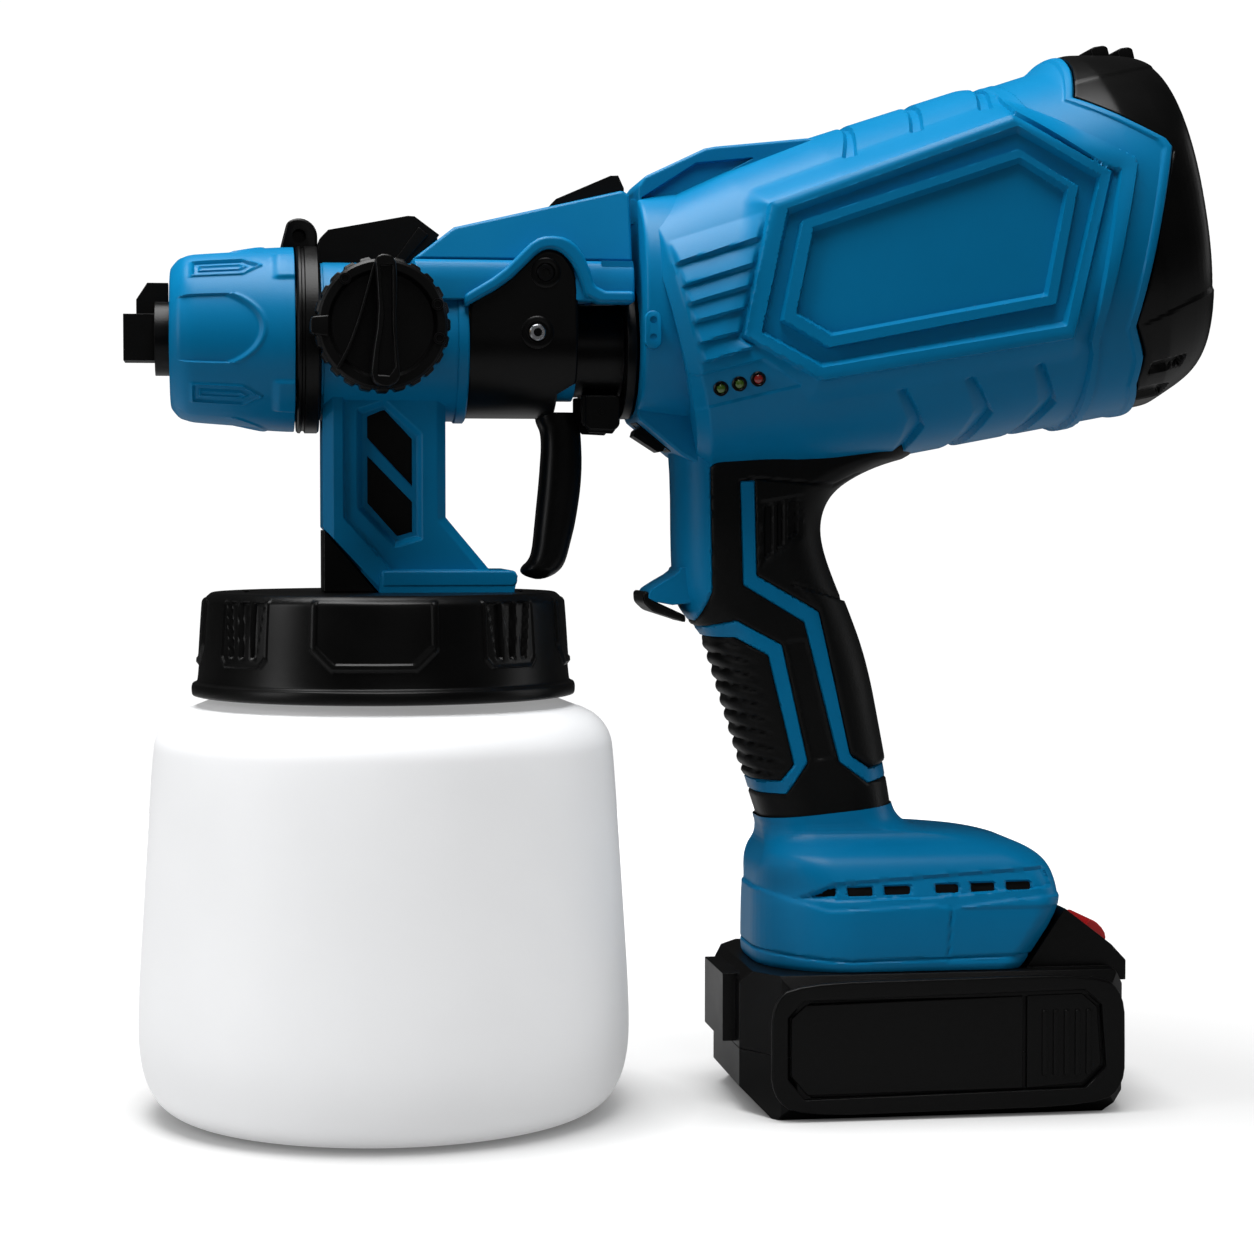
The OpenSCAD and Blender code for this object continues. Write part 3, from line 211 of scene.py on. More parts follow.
# %% Groups for moulding grain and handled patches
def shader_group(name, inputs, outputs):
    """A shader group with its named sockets, its input node and its output node."""
    group = bpy.data.node_groups.new(name, "ShaderNodeTree")
    for label, value in inputs:
        socket = group.interface.new_socket(label, in_out="INPUT", socket_type="NodeSocketFloat")
        socket.default_value = value
    for label in outputs:
        group.interface.new_socket(label, in_out="OUTPUT", socket_type="NodeSocketFloat")
    return group, group.nodes.new("NodeGroupInput"), group.nodes.new("NodeGroupOutput")

grain_group, given, result = shader_group(
    "moulding_grain", [("Grain Size", 0.4), ("Wobble", 0.3)], ["Height"])
place = add_node(grain_group, "ShaderNodeTexCoord")
per_mm = add_node(grain_group, "ShaderNodeMath", "DIVIDE")
per_mm.inputs[0].default_value = 1 / MM
fine = add_node(grain_group, "ShaderNodeTexNoise", Detail=3)
broad = add_node(grain_group, "ShaderNodeTexNoise", Scale=35, Detail=1)
weigh = add_node(grain_group, "ShaderNodeMath", "MULTIPLY_ADD")
wire(grain_group,
     (given, "Grain Size", per_mm, 1),
     (per_mm, 0, fine, "Scale"),
     (place, "Object", fine, "Vector"),
     (place, "Object", broad, "Vector"),
     (broad, "Fac", weigh, 0),
     (given, "Wobble", weigh, 1),
     (fine, "Fac", weigh, 2),
     (weigh, 0, result, "Height"))

patch_group, given, result = shader_group(
    "handled_patches", [("Low", 0.35), ("High", 0.5), ("Patch Scale", 18)], ["Value", "Mask"])
place = add_node(patch_group, "ShaderNodeTexCoord")
clouds = add_node(patch_group, "ShaderNodeTexNoise", Detail=6, Roughness=0.6)
spread = add_node(patch_group, "ShaderNodeMapRange", From_Min=0.35, From_Max=0.65)
blend = add_node(patch_group, "ShaderNodeMapRange")
wire(patch_group,
     (place, "Object", clouds, "Vector"),
     (given, "Patch Scale", clouds, "Scale"),
     (clouds, "Fac", spread, "Value"),
     (spread, 0, blend, "Value"),
     (given, "Low", blend, "To Min"),
     (given, "High", blend, "To Max"),
     (blend, 0, result, "Value"),
     (spread, 0, result, "Mask"))
print("groups:", [group.name for group in bpy.data.node_groups])

# %% [markdown]
# ## Finishes
# One function makes every finish: a Principled shader whose colour wanders a little
# between two shades, whose roughness follows the handled patches, and whose surface
# carries the grain. Plastics, rubber, foam and metals differ only in these values.

# %% The finish maker
def tone(*rgb):
    """A colour written as a screen shows it, 0 to 255, as the shader wants it."""
    linear = [c / 255 / 12.92 if c <= 10 else ((c / 255 + 0.055) / 1.055) ** 2.4 for c in rgb]
    return (*linear, 1)

def finish(name, shade, second, low, high, grain=0.4, depth=0.02, scale=18, **fixed):
    """A finish: two shades, lowest and highest roughness, grain and its depth in mm, patch scale."""
    material, tree = new_material(name)
    shader = add_node(tree, "ShaderNodeBsdfPrincipled", **fixed)
    out = add_node(tree, "ShaderNodeOutputMaterial")
    patches = tree.nodes.new("ShaderNodeGroup")
    patches.node_tree = patch_group
    for label, value in (("Low", low), ("High", high), ("Patch Scale", scale)):
        patches.inputs[label].default_value = value
    mix = tree.nodes.new("ShaderNodeMix")
    mix.data_type = "RGBA"
    mix.inputs["A"].default_value = tone(*shade)
    mix.inputs["B"].default_value = tone(*second)
    skin = tree.nodes.new("ShaderNodeGroup")
    skin.node_tree = grain_group
    skin.inputs["Grain Size"].default_value = grain
    bump = add_node(tree, "ShaderNodeBump", Distance=depth * MM)
    wire(tree,
         (patches, "Mask", mix, "Factor"),
         (mix, "Result", shader, "Base Color"),
         (patches, "Value", shader, "Roughness"),
         (skin, "Height", bump, "Height"),
         (bump, "Normal", shader, "Normal"),
         (shader, 0, out, "Surface"))
    return material

# %% The finishes
blue = finish("blue_moulding", (0, 109, 157), (0, 114, 163), 0.34, 0.42, Specular_IOR_Level=0.13)
black = finish("black_moulding", (6, 6, 6), (9, 9, 9), 0.28, 0.38, Specular_IOR_Level=0.14)
rubber_black = finish("grip_rubber", (7, 8, 8), (11, 11, 11), 0.38, 0.56, grain=0.6, depth=0.05,
                      Specular_IOR_Level=0.12)
soft_rubber = finish("seal_rubber", (16, 16, 18), (22, 22, 24), 0.55, 0.7)
# The cup's finish glows a little by itself: painted light that stands in for light scattered in the milky
# wall.
glowing_milk = finish("milky_cup_painted_glow", (222, 223, 225), (227, 228, 230), 0.4, 0.5, grain=2.5,
              Specular_IOR_Level=0.2, Emission_Strength=0.26)
steel = finish("machined_steel", (176, 178, 182), (196, 198, 201), 0.24, 0.36, Metallic=1.0)
dark_steel = finish("blackened_steel", (30, 30, 31), (38, 38, 39), 0.3, 0.42, Metallic=1.0)
brass = finish("turned_brass", (190, 150, 80), (205, 165, 92), 0.22, 0.34, Metallic=1.0)
nylon = finish("white_nylon", (216, 215, 208), (224, 223, 217), 0.4, 0.5)
foam = finish("filter_foam", (24, 25, 26), (52, 54, 56), 0.85, 0.95, grain=1.2, depth=0.5, scale=900)
board_green = finish("circuit_board", (20, 84, 48), (32, 104, 60), 0.3, 0.45, scale=300)
green_lens = finish("green_lens", (52, 84, 22), (74, 104, 34), 0.2, 0.3, scale=700, Coat_Weight=0.6)
red_lens = finish("red_lens", (120, 26, 24), (146, 36, 30), 0.2, 0.3, scale=700, Coat_Weight=0.6)
red_button = finish("red_moulding", (196, 24, 26), (206, 30, 30), 0.3, 0.4)
cell_sleeve = finish("cell_sleeve", (44, 96, 160), (50, 104, 170), 0.22, 0.3)
wire_red = finish("wire_sleeve", (130, 26, 22), (142, 32, 28), 0.4, 0.5)
print(len(bpy.data.materials), "finishes")

# %% [markdown]
# ## Outlines, heights and surfaces
# The moulded relief is real geometry. A fine grid is laid over each part, and every
# point asks how far it is from an outline drawn in side view. Stepping the surface in
# or out by that distance gives frames, grooves and panels with soft edges, on both
# sides of the tool, without a single boolean.

# %% Distance to an outline
TINY = 1e-12

def edge_gap(px, pz, start, end):
    """Distance in mm from points to the straight line between two corners."""
    (ax, az), (bx, bz) = start, end
    ex, ez = bx - ax, bz - az
    t = np.clip(((px - ax) * ex + (pz - az) * ez) / max(ex * ex + ez * ez, TINY), 0, 1)
    return np.hypot(px - ax - t * ex, pz - az - t * ez)

def inside(px, pz, outline):
    """Signed distance in mm from points to a closed outline, negative inside."""
    corners = np.array(outline, float)
    best = np.full(px.shape, 1e9)
    within = np.zeros(px.shape, bool)
    for (ax, az), (bx, bz) in zip(corners, np.roll(corners, -1, 0)):
        best = np.minimum(best, edge_gap(px, pz, (ax, az), (bx, bz)))
        level = (az > pz) != (bz > pz)
        fall = bz - az if abs(bz - az) > TINY else TINY
        within ^= level & (px < (bx - ax) * (pz - az) / fall + ax)
    return np.where(within, -best, best)

def near(px, pz, line):
    """Distance in mm from points to an open line."""
    return np.minimum.reduce([edge_gap(px, pz, a, b) for a, b in zip(line[:-1], line[1:])])

def ease(x, low, high):
    """0 below low, 1 above high, and a smooth rise between."""
    t = np.clip((x - low) / (high - low), 0, 1)
    return t * t * (3 - 2 * t)

def rise(distance, width=0.9):
    """1 inside an outline and 0 outside, with an edge that is width wide."""
    return 1 - ease(distance, -width / 2, width / 2)

middle = np.array([1.0])
print("a small square's middle is", -inside(middle, middle, [(0, 0), (2, 0), (2, 2), (0, 2)])[0], "mm in")

# %% Meshes from points, and pieces from meshes
def add_piece(name, mesh, finish_used, body, replaced=(), sharp=40):
    """A piece that rides a body, shaded smooth below the sharp angle in degrees."""
    mesh.materials.clear()
    mesh.materials.append(finish_used)
    if not mesh.has_custom_normals:
        mesh.shade_smooth()
        mesh.set_sharp_from_angle(angle=math.radians(sharp))
    piece = bpy.data.objects.new(name, mesh)
    scene.collection.objects.link(piece)
    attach(piece, body)
    if replaced:
        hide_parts(*replaced)
    return piece

def grid_mesh(name, grid, around=False, ends=(False, False), flip=False):
    """A mesh from rows of points in mm; around closes each row, ends closes the first or last row."""
    rows, cols = grid.shape[:2]
    index = np.arange(rows * cols).reshape(rows, cols)
    a, b = index[:-1], index[1:]
    if around:
        right_a, right_b = np.roll(a, -1, 1), np.roll(b, -1, 1)
    else:
        a, b, right_a, right_b = a[:, :-1], b[:, :-1], a[:, 1:], b[:, 1:]
    quads = np.stack([a, right_a, right_b, b], -1).reshape(-1, 4)
    if flip:
        quads = quads[:, ::-1]
    faces = quads.tolist()
    if ends[0]:
        faces.append(index[0][:: 1 if flip else -1].tolist())
    if ends[1]:
        faces.append(index[-1][:: -1 if flip else 1].tolist())
    mesh = bpy.data.meshes.new(name)
    mesh.from_pydata((grid.reshape(-1, 3) * MM).tolist(), [], faces)
    mesh.update()
    return mesh

MERGE = 0.01 * MM

def outward(mesh):
    """Merges doubles and turns every face outwards."""
    work = bmesh.new()
    work.from_mesh(mesh)
    bmesh.ops.remove_doubles(work, verts=work.verts, dist=MERGE)
    bmesh.ops.recalc_face_normals(work, faces=work.faces)
    work.to_mesh(mesh)
    work.free()
    return mesh

# %% Modifiers and booleans, applied at once
def plain(mesh, set_up):
    """The mesh of a passing object after set_up has given it its modifiers."""
    holder = bpy.data.objects.new("holder", mesh)
    scene.collection.objects.link(holder)
    set_up(holder)
    ready = bpy.data.meshes.new_from_object(holder.evaluated_get(bpy.context.evaluated_depsgraph_get()))
    ready.name = mesh.name
    bpy.data.objects.remove(holder)
    return ready

def baked(mesh, *modifiers):
    """A mesh with modifiers applied; each is (kind, {setting: value})."""
    def set_up(holder):
        for kind, settings in modifiers:
            modifier = holder.modifiers.new(kind, kind)
            for setting, value in settings.items():
                setattr(modifier, setting, value)
    return plain(mesh, set_up)

def rounded(mesh, width, segments=2, angle=30):
    """Bevels the sharp edges of a closed mesh, width in mm, and keeps its flat faces shaded flat."""
    mesh.shade_smooth()
    bevel = dict(width=width * MM, segments=segments, limit_method="ANGLE",
                 angle_limit=math.radians(angle), miter_outer="MITER_ARC")
    normals = dict(mode="FACE_AREA", weight=100, keep_sharp=False)
    return baked(mesh, ("BEVEL", bevel), ("WEIGHTED_NORMAL", normals))

def plate(name, outline, y0, y1, bevel=0.4, segments=2):
    """An XZ outline made thick from y0 to y1, with rounded edges."""
    count = len(outline)
    points = [(x * MM, y * MM, z * MM) for y in (y0, y1) for x, z in outline]
    faces = [tuple(range(count)), tuple(range(2 * count - 1, count - 1, -1))]
    faces += [(i, i + count, (i + 1) % count + count, (i + 1) % count) for i in range(count)]
    mesh = bpy.data.meshes.new(name)
    mesh.from_pydata(points, [], faces)
    outward(mesh)
    return rounded(mesh, bevel, segments) if bevel else mesh

def cutter(outline, y0, y1):
    """A plain plate with sharp edges, for cutting."""
    return plate("cut", outline, y0, y1, 0)

def spun(name, profile, origin, axis, steps=96, closed=False):
    """A profile of (along, radius) in mm, turned round an axis through origin."""
    along = Vector(axis).normalized()
    side = along.orthogonal().normalized()
    up = along.cross(side)
    turn = np.linspace(0, 2 * math.pi, steps, endpoint=False)
    circle = np.outer(np.cos(turn), side) + np.outer(np.sin(turn), up)
    grid = np.array([np.array(origin) + t * np.array(along) + max(r, 0.001) * circle for t, r in profile])
    if closed:
        grid = np.concatenate([grid, grid[:1]])
    return outward(grid_mesh(name, grid, around=True, ends=(not closed, not closed)))

def carved(mesh, *cutters):
    """mesh without the cutters, by exact booleans."""
    steps = []
    holders = []
    for shape in cutters:
        holder = bpy.data.objects.new("cutter", shape)
        scene.collection.objects.link(holder)
        holders.append(holder)
        steps.append(("BOOLEAN", dict(operation="DIFFERENCE", solver="EXACT", object=holder)))
    ready = baked(mesh, *steps)
    for holder in holders:
        bpy.data.objects.remove(holder)
    return ready

def joined(name, *meshes):
    """Several meshes as one."""
    work = bmesh.new()
    for mesh in meshes:
        work.from_mesh(mesh)
    ready = bpy.data.meshes.new(name)
    work.to_mesh(ready)
    work.free()
    return ready
print("helpers ready")

# %% [markdown]
# ## Turbine barrel
# The barrel is a wide tapering tube, tilted 14.5 degrees, moulded in two halves that
# meet at the middle. Each half is one grid: rows along the tube, columns round it.
# The cross-section is a rounded square rather than a circle, and the big six-sided
# panel on the side is flattened, which is what makes its frames catch the light evenly.

# %% Barrel coordinates
TILT = math.radians(14.5)
ROOT_X, ROOT_Z = 84.0, 214.0

def to_side(u, v):
    """Along and across the barrel to x and z, in mm."""
    return (ROOT_X + u * math.cos(TILT) - v * math.sin(TILT),
            ROOT_Z + u * math.sin(TILT) + v * math.cos(TILT))

def to_barrel(x, z):
    """x and z to along and across the barrel, in mm."""
    dx, dz = np.asarray(x) - ROOT_X, np.asarray(z) - ROOT_Z
    return dx * math.cos(TILT) + dz * math.sin(TILT), -dx * math.sin(TILT) + dz * math.cos(TILT)

def read_off(line, at):
    """The second column of a line where its first column has the value at."""
    return np.interp(at, line[:, 0], line[:, 1])

BARREL_START = -7
BACK_RADIUS = 50
SQUARE = 2.25
barrel_line = np.array([(BARREL_START, 34.2), (-4, 38), (20, 42.3), (46, 45.3), (122, 50.3), (140, 50.3)])
back_edge = np.array([(-56, 119), (-42.5, 114.5), (-36, 115.5), (-27.6, 113.5), (16.4, 133.3),
                      (18.9, 132.4), (36.5, 113.5), (44, 118), (56, 124)])

def rounded_square(angle, power=SQUARE):
    """Across and sideways shares of the radius for an angle from the side (0) to the top (90)."""
    s, c = np.sin(angle), np.cos(angle)
    return np.sign(s) * np.abs(s) ** (2 / power), np.sign(c) * np.abs(c) ** (2 / power)
print("barrel radius at front and back:", read_off(barrel_line, -4), read_off(barrel_line, 122))

# %% [markdown]
# ### The relief on the barrel's side
# Every outline is in side view, x and z in mm. Frames step out and panels step in;
# the louvres are six planes that lean outwards and end in a step; the chevrons are
# wedges that sink towards their right edge; the slots over the top are shallow.

# %% Outlines of the relief
hex_frame = [(100.8, 247), (165.5, 270.8), (192.3, 256.2), (182.3, 212.6), (114.3, 200.9), (93.6, 212.1)]
hex_band = [(105.5, 244.9), (166.6, 267), (188.7, 254.7), (179.8, 216.1), (114.5, 204.7), (98.6, 213.2)]
hex_ridge = [(108.8, 242.3), (166.9, 261.7), (183.2, 252.2), (177.3, 221.2), (116.1, 209.2), (103.7, 216.2)]
hex_panel = [(112.2, 240.3), (167.2, 258.9), (179.9, 251.4), (174.6, 223.6), (117.2, 212.7), (107.7, 218.1)]
rear_band = [(167, 271.9), (190.9, 257.1), (194.3, 256.6), (187.8, 212.1), (188.9, 209.4), (190.5, 193.5),
             (189.5, 180), (193, 180), (193.6, 193.5), (190.6, 212.2), (198.9, 257.8), (198.3, 260),
             (172.1, 274.2), (169.2, 283.4), (169.5, 294), (165.5, 294), (166, 283)]
lamp_panel = [(78.6, 202.4), (82, 201.6), (99.1, 205.9), (109.8, 199.2), (86, 193.4), (81, 192.6)]
chevrons = [
    ([(135.6, 198.6), (140.5, 191.3), (139.6, 181), (138.6, 172)],
     [(138.4, 198.7), (145.8, 189.7), (141.9, 181), (140.6, 172)]),
    ([(154.3, 201.6), (159.2, 193.6), (156.1, 184.4), (154.6, 175)],
     [(157.1, 202.1), (164.7, 193.6), (160.6, 184.4), (158.6, 175)]),
    ([(173.6, 205.3), (177.6, 195.9), (173.7, 187.6), (172, 178)],
     [(176.2, 205.9), (182.8, 196.5), (177.8, 188.2), (175.6, 178)])]
top_slots = [
    [(122.6, 261), (125.8, 261.5), (128, 271.3), (130.8, 282), (127, 282), (126.2, 270.9)],
    [(141.5, 268.4), (144.5, 269), (146.7, 278), (149.9, 288), (145.8, 288), (144.2, 277.4)],
    [(160.3, 274.4), (163.4, 275), (165.3, 284.8), (168.6, 294), (164.6, 294), (163, 283.9)]]
print("outlines on each side:", 6 + len(chevrons) + len(top_slots))

# %% Height of the relief
# Each frame or panel with its step out in mm and the width of its edge
barrel_steps = [(hex_frame, 1.5, 0.9), (hex_band, -2.2, 0.6), (hex_ridge, 2.1, 0.6), (hex_panel, -2.2, 0.6),
                (rear_band, 1.4, 0.6), (lamp_panel, -0.6, 0.6)]
louvre_edges = [25.5, 18.3, 12.3, 7.2, 2.2, -3.4, -8.4]
LOUVRE_SLOPE = 0.045
LOUVRE_STEP = 1.7
CHEVRON_DEPTH = 1.7
TOP_SLOT_DEPTH = 1.2

def barrel_relief(x, z, u, v):
    """Height of the moulded relief over the plain barrel, in mm."""
    height = 0
    for outline, step, width in barrel_steps:
        fade = 1 - 0.8 * ease(v, 36, 46) if outline is rear_band else 1
        height = height + step * rise(inside(x, z, outline), width) * fade
    level = v - LOUVRE_SLOPE * u
    slat = np.zeros(u.shape)
    for top, low in zip(louvre_edges[:-1], louvre_edges[1:]):
        share = np.clip((top - level) / (top - low), 0, 1)
        slat += np.where((level <= top) & (level > low), share * ease(level, low, low + 0.5), 0)
    front_of_hex = rise(1.2 - inside(x, z, hex_frame), 1.2) * ease(u, -3.6, -2.2) * (u < 36)
    height += LOUVRE_STEP * slat * front_of_hex
    for left, right in chevrons:
        area = inside(x, z, left + right[::-1])
        from_left, from_right = near(x, z, left), near(x, z, right)
        height -= CHEVRON_DEPTH * rise(area, 0.7) * from_left / (from_left + from_right + 1e-6)
    for slot in top_slots:
        height -= TOP_SLOT_DEPTH * rise(inside(x, z, slot), 0.8)
    return height
print("tallest step of the relief:", max(step for outline, step, width in barrel_steps), "mm")

# %% Grid points moved onto the edges
def snapped(x, z, fields, cell):
    """Moves grid points that lie close to a level of a field onto it, so that edges come out straight."""
    small = 0.01
    for field, levels in fields:
        for level in levels:
            gap = field(x, z) - level
            slope_x = (field(x + small, z) - level - gap) / small
            slope_z = (field(x, z + small) - level - gap) / small
            size = np.maximum(slope_x ** 2 + slope_z ** 2, 1e-6)
            close = (np.abs(gap) < 0.5 * cell) & (size > 0.5)
            x = np.where(close, x - gap * slope_x / size, x)
            z = np.where(close, z - gap * slope_z / size, z)
    return x, z

def edge_of(outline, width=0.8):
    """The field of an outline, and its levels at the foot and the head of an edge this wide."""
    return (lambda x, z: inside(x, z, outline)), (-width / 2, width / 2)

barrel_edges = [edge_of(outline, width) for outline, step, width in barrel_steps]
barrel_edges += [edge_of(slot) for slot in top_slots]
print("edge lines that the grid follows:", len(barrel_edges))

# %% Barrel halves
FLAT_SHARE = 0.957
BACK_ROUND = 0.9
BACK_LIP = 0.6
SEAM_DEPTH = 0.35

def barrel_half(name, side, rows=270, cols=310):
    """One half of the barrel: the bare tube, flattened at the panel, plus the relief along its normals."""
    angle = np.radians(np.linspace(-90, 90, cols))
    across, sideways = rounded_square(angle)
    last = read_off(back_edge, across * BACK_RADIUS)
    t = np.linspace(0, 1, rows)[:, None]
    u = BARREL_START + t * (last[None, :] - BARREL_START)
    radius = read_off(barrel_line, u)
    v, y = radius * across, radius * sideways
    x, z = snapped(*to_side(u, v), barrel_edges, 0.5)
    u_new, v_new = to_barrel(x, z)
    free = (np.abs(across) < 0.92) & (t > 0.01) & (t < 0.985)
    u, v = np.where(free, u_new, u), np.where(free, v_new, v)
    radius = read_off(barrel_line, u)
    share = np.clip(np.abs(v) / radius, 0, 1)
    y = np.where(free, radius * (1 - share ** SQUARE) ** (1 / SQUARE), y)
    x, z = to_side(u, v)
    flat = rise(inside(x, z, hex_frame) - 2, 9)
    y = y + (FLAT_SHARE * radius - y) * flat * (sideways > 0.3)
    drop = np.clip(1 - (last - u) / BACK_ROUND, 0, 1)
    height = barrel_relief(x, z, u, v) + BACK_LIP * ease(u, last - 3, last - 2.2) * (u > 60)
    height -= BACK_ROUND * (1 - np.sqrt(1 - drop ** 2))
    height -= SEAM_DEPTH * (1 - ease(np.abs(y), 0, 0.7))
    steep = np.sign(across) * np.abs(across) ** (SQUARE - 1), np.abs(sideways) ** (SQUARE - 1)
    size = np.hypot(*steep)
    belly = 1.5 * np.clip(-across, 0, 1) ** 2 * ease(u, 10, 32)
    saddle_dip = 1.9 * np.clip(across, 0, 1) ** 6 * ease(u, 90, 99) * (1 - ease(u, 112, 119))
    v = v + height * steep[0] / size - belly - saddle_dip
    y = np.maximum(y + height * steep[1] / size, 0.02)
    # One more row and column at each border folds inwards, so that the skin ends in a lip
    u = np.vstack([u[:1] + 1, u, u[-1:] - 0.4])
    v, y = [np.vstack([f[:1] * 0.6, f, f[-1:] * 0.94]) for f in (v, y)]
    u, v, y = [np.hstack([f[:, :1] * k, f, f[:, -1:] * k]) for f, k in ((u, 1), (v, 0.94), (y, 1))]
    x, z = to_side(u, v)
    return grid_mesh(name, np.stack([x, side * y, z], -1), flip=side > 0)

for side, name, node in ((-1, "barrel_left", "housing_left"), (1, "barrel_right", "housing_right")):
    half = add_piece(name, barrel_half(name, side), blue, "turbine_body", [node], 35)
    print(name, len(half.data.polygons), "faces")

# %% [markdown]
# ## Rear cap
# The black cap pulls off backwards to free the air filter. It starts along the same
# jagged line where the barrel ends and runs round to a blunt dome. Slots low on its
# sides and a ring of vents in its back let the air in.

# %% Lines without corners
def run_along(line):
    """How far along a line each of its points is."""
    return np.concatenate([[0], np.cumsum(np.hypot(*np.diff(line, axis=0).T))])

def softened(line, rounds=3):
    """Corner cutting: every round replaces each corner by two, a quarter of the way in."""
    line = np.array(line, float)
    for _ in range(rounds):
        start, end = line[:-1], line[1:]
        cut = np.stack([start * 0.75 + end * 0.25, start * 0.25 + end * 0.75], 1).reshape(-1, 2)
        line = np.vstack([line[:1], cut, line[-1:]])
    return line
print("points after one round on a square:", len(softened([(0, 0), (1, 0), (1, 1), (0, 1)], 1)))

# %% Outlines of the cap
CAP_GAP = 0.35
CAP_ROUND = 0.8
VENT_STEP = 22.5
VENT_DEPTH = 2.0
LOW_SLOT_DEPTH = 1.7
cap_line = softened([(100, 48.9), (122, 50.3), (124.3, 50.0), (139.8, 45.6), (141.0, 40.7), (146.0, 14),
                     (146.9, 0.02)])
cap_run = run_along(cap_line)
cap_low_slots = [[(208.3, 206.2), (219.8, 209.2), (219.1, 206.6), (208.3, 203.6)],
                 [(208.1, 199.9), (217.2, 201.6), (216.4, 198.9), (208.1, 197.2)]]
print("cap line:", round(cap_run[-1], 1), "mm from the front edge to the middle of the back")

# %% Rear cap
def cap_relief(x, z, u, v, y):
    """Height of the cap's relief: two shallow bands, the low slots, and the ring of vents in its back."""
    height = 0.45 * rise(v + 27.5 - 0.2 * (u - 118), 0.9) * ease(u, 114, 118)
    height += 0.35 * ease(v, 39.6, 40.6)
    for slot in cap_low_slots:
        height -= LOW_SLOT_DEPTH * rise(inside(x, z, slot), 0.7)
    reach = np.hypot(v, y)
    turn = np.degrees(np.arctan2(y, v))
    spoke = np.abs((turn + VENT_STEP / 2) % VENT_STEP - VENT_STEP / 2)
    vent = rise(np.radians(spoke) * reach - 1.4, 0.7) * ease(reach, 14, 15) * (1 - ease(reach, 29, 30))
    height -= VENT_DEPTH * vent * (u > 136)
    return height

def cap_mesh(name, rows=120, cols=420):
    """The cap as one grid: rows from the jagged line to the middle of the back, columns round it."""
    angle = np.radians(np.linspace(0, 360, cols, endpoint=False))
    across, sideways = rounded_square(angle)
    start = np.interp(read_off(back_edge, across * BACK_RADIUS) + CAP_GAP, cap_line[:, 0], cap_run)
    t = np.linspace(0, 1, rows)[:, None] ** 1.15
    run = start + t * (cap_run[-1] - start)
    u, radius = [np.interp(run, cap_run, column) for column in cap_line.T]
    v, y = radius * across, radius * sideways
    x, z = to_side(u, v)
    drop = np.clip(1 - (run - start) / CAP_ROUND, 0, 1)
    height = cap_relief(x, z, u, v, y) - CAP_ROUND * (1 - np.sqrt(1 - drop ** 2))
    lean = np.gradient(radius, axis=0) / (np.gradient(u, axis=0) + 1e-9)
    along = -lean / np.hypot(1, lean)
    outer = 1 / np.hypot(1, lean)
    u = u + height * along + 0.08 * v * np.clip((u - 122) / 20, 0, 1)
    v, y = v + height * outer * across, y + height * outer * sideways
    u = np.vstack([u[:1] + 0.6, u])
    v, y = [np.vstack([f[:1] * 0.93, f]) for f in (v, y)]
    x, z = to_side(u, v)
    return outward(grid_mesh(name, np.stack([x, y, z], -1), around=True, ends=(False, True)))

def cap_rib(u, length, top):
    """A raised bar across the top of the cap, as a section along and across the barrel."""
    corners = [(u, top - 3), (u, top - 0.5), (u + 0.8, top), (u + length - 1, top - 0.25),
               (u + length, top - 1), (u + length, top - 4)]
    return plate("rib", [to_side(a, b) for a, b in corners], -6.5, 6.5, 0.5)

cap_ribs = [cap_rib(132.0, 5.0, 50.9), cap_rib(139.6, 4.4, 48.8)]
cap = joined("rear_cap_shell", cap_mesh("rear_cap_shell"), *cap_ribs)
add_piece("rear_cap_shell", cap, black, "rear_cap", ["rear_cap"], 35)
print("rear cap:", len(cap.polygons), "faces")

# %% [markdown]
# ## Copies that repeat
# Teeth, ribs, flutes and slots repeat round an axis or along a row. Two Geometry Nodes
# trees do both jobs: the single tooth is the modified mesh, the tree places copies of
# it on a ring or a line, realizes them, and sets their finish.

# %% Ends that both trees share
def copies_tree(name, *extra):
    """A tree with its named inputs, its input node and its output node."""
    tree = bpy.data.node_groups.new(name, "GeometryNodeTree")
    tree.interface.new_socket("Geometry", in_out="INPUT", socket_type="NodeSocketGeometry")
    for label, kind, value in [("Count", "Int", 8), *extra, ("Finish", "Material", None)]:
        socket = tree.interface.new_socket(label, in_out="INPUT", socket_type="NodeSocket" + kind)
        if value is not None:
            socket.default_value = value
    tree.interface.new_socket("Geometry", in_out="OUTPUT", socket_type="NodeSocketGeometry")
    return tree, tree.nodes.new("NodeGroupInput"), tree.nodes.new("NodeGroupOutput")

def end_tree(tree, given, result, place):
    """Makes the copies that place puts down real and gives them their finish."""
    real = add_node(tree, "GeometryNodeRealizeInstances")
    paint = add_node(tree, "GeometryNodeSetMaterial")
    wire(tree,
         (place, "Instances", real, "Geometry"),
         (real, "Geometry", paint, "Geometry"),
         (given, "Finish", paint, "Material"),
         (paint, "Geometry", result, "Geometry"))

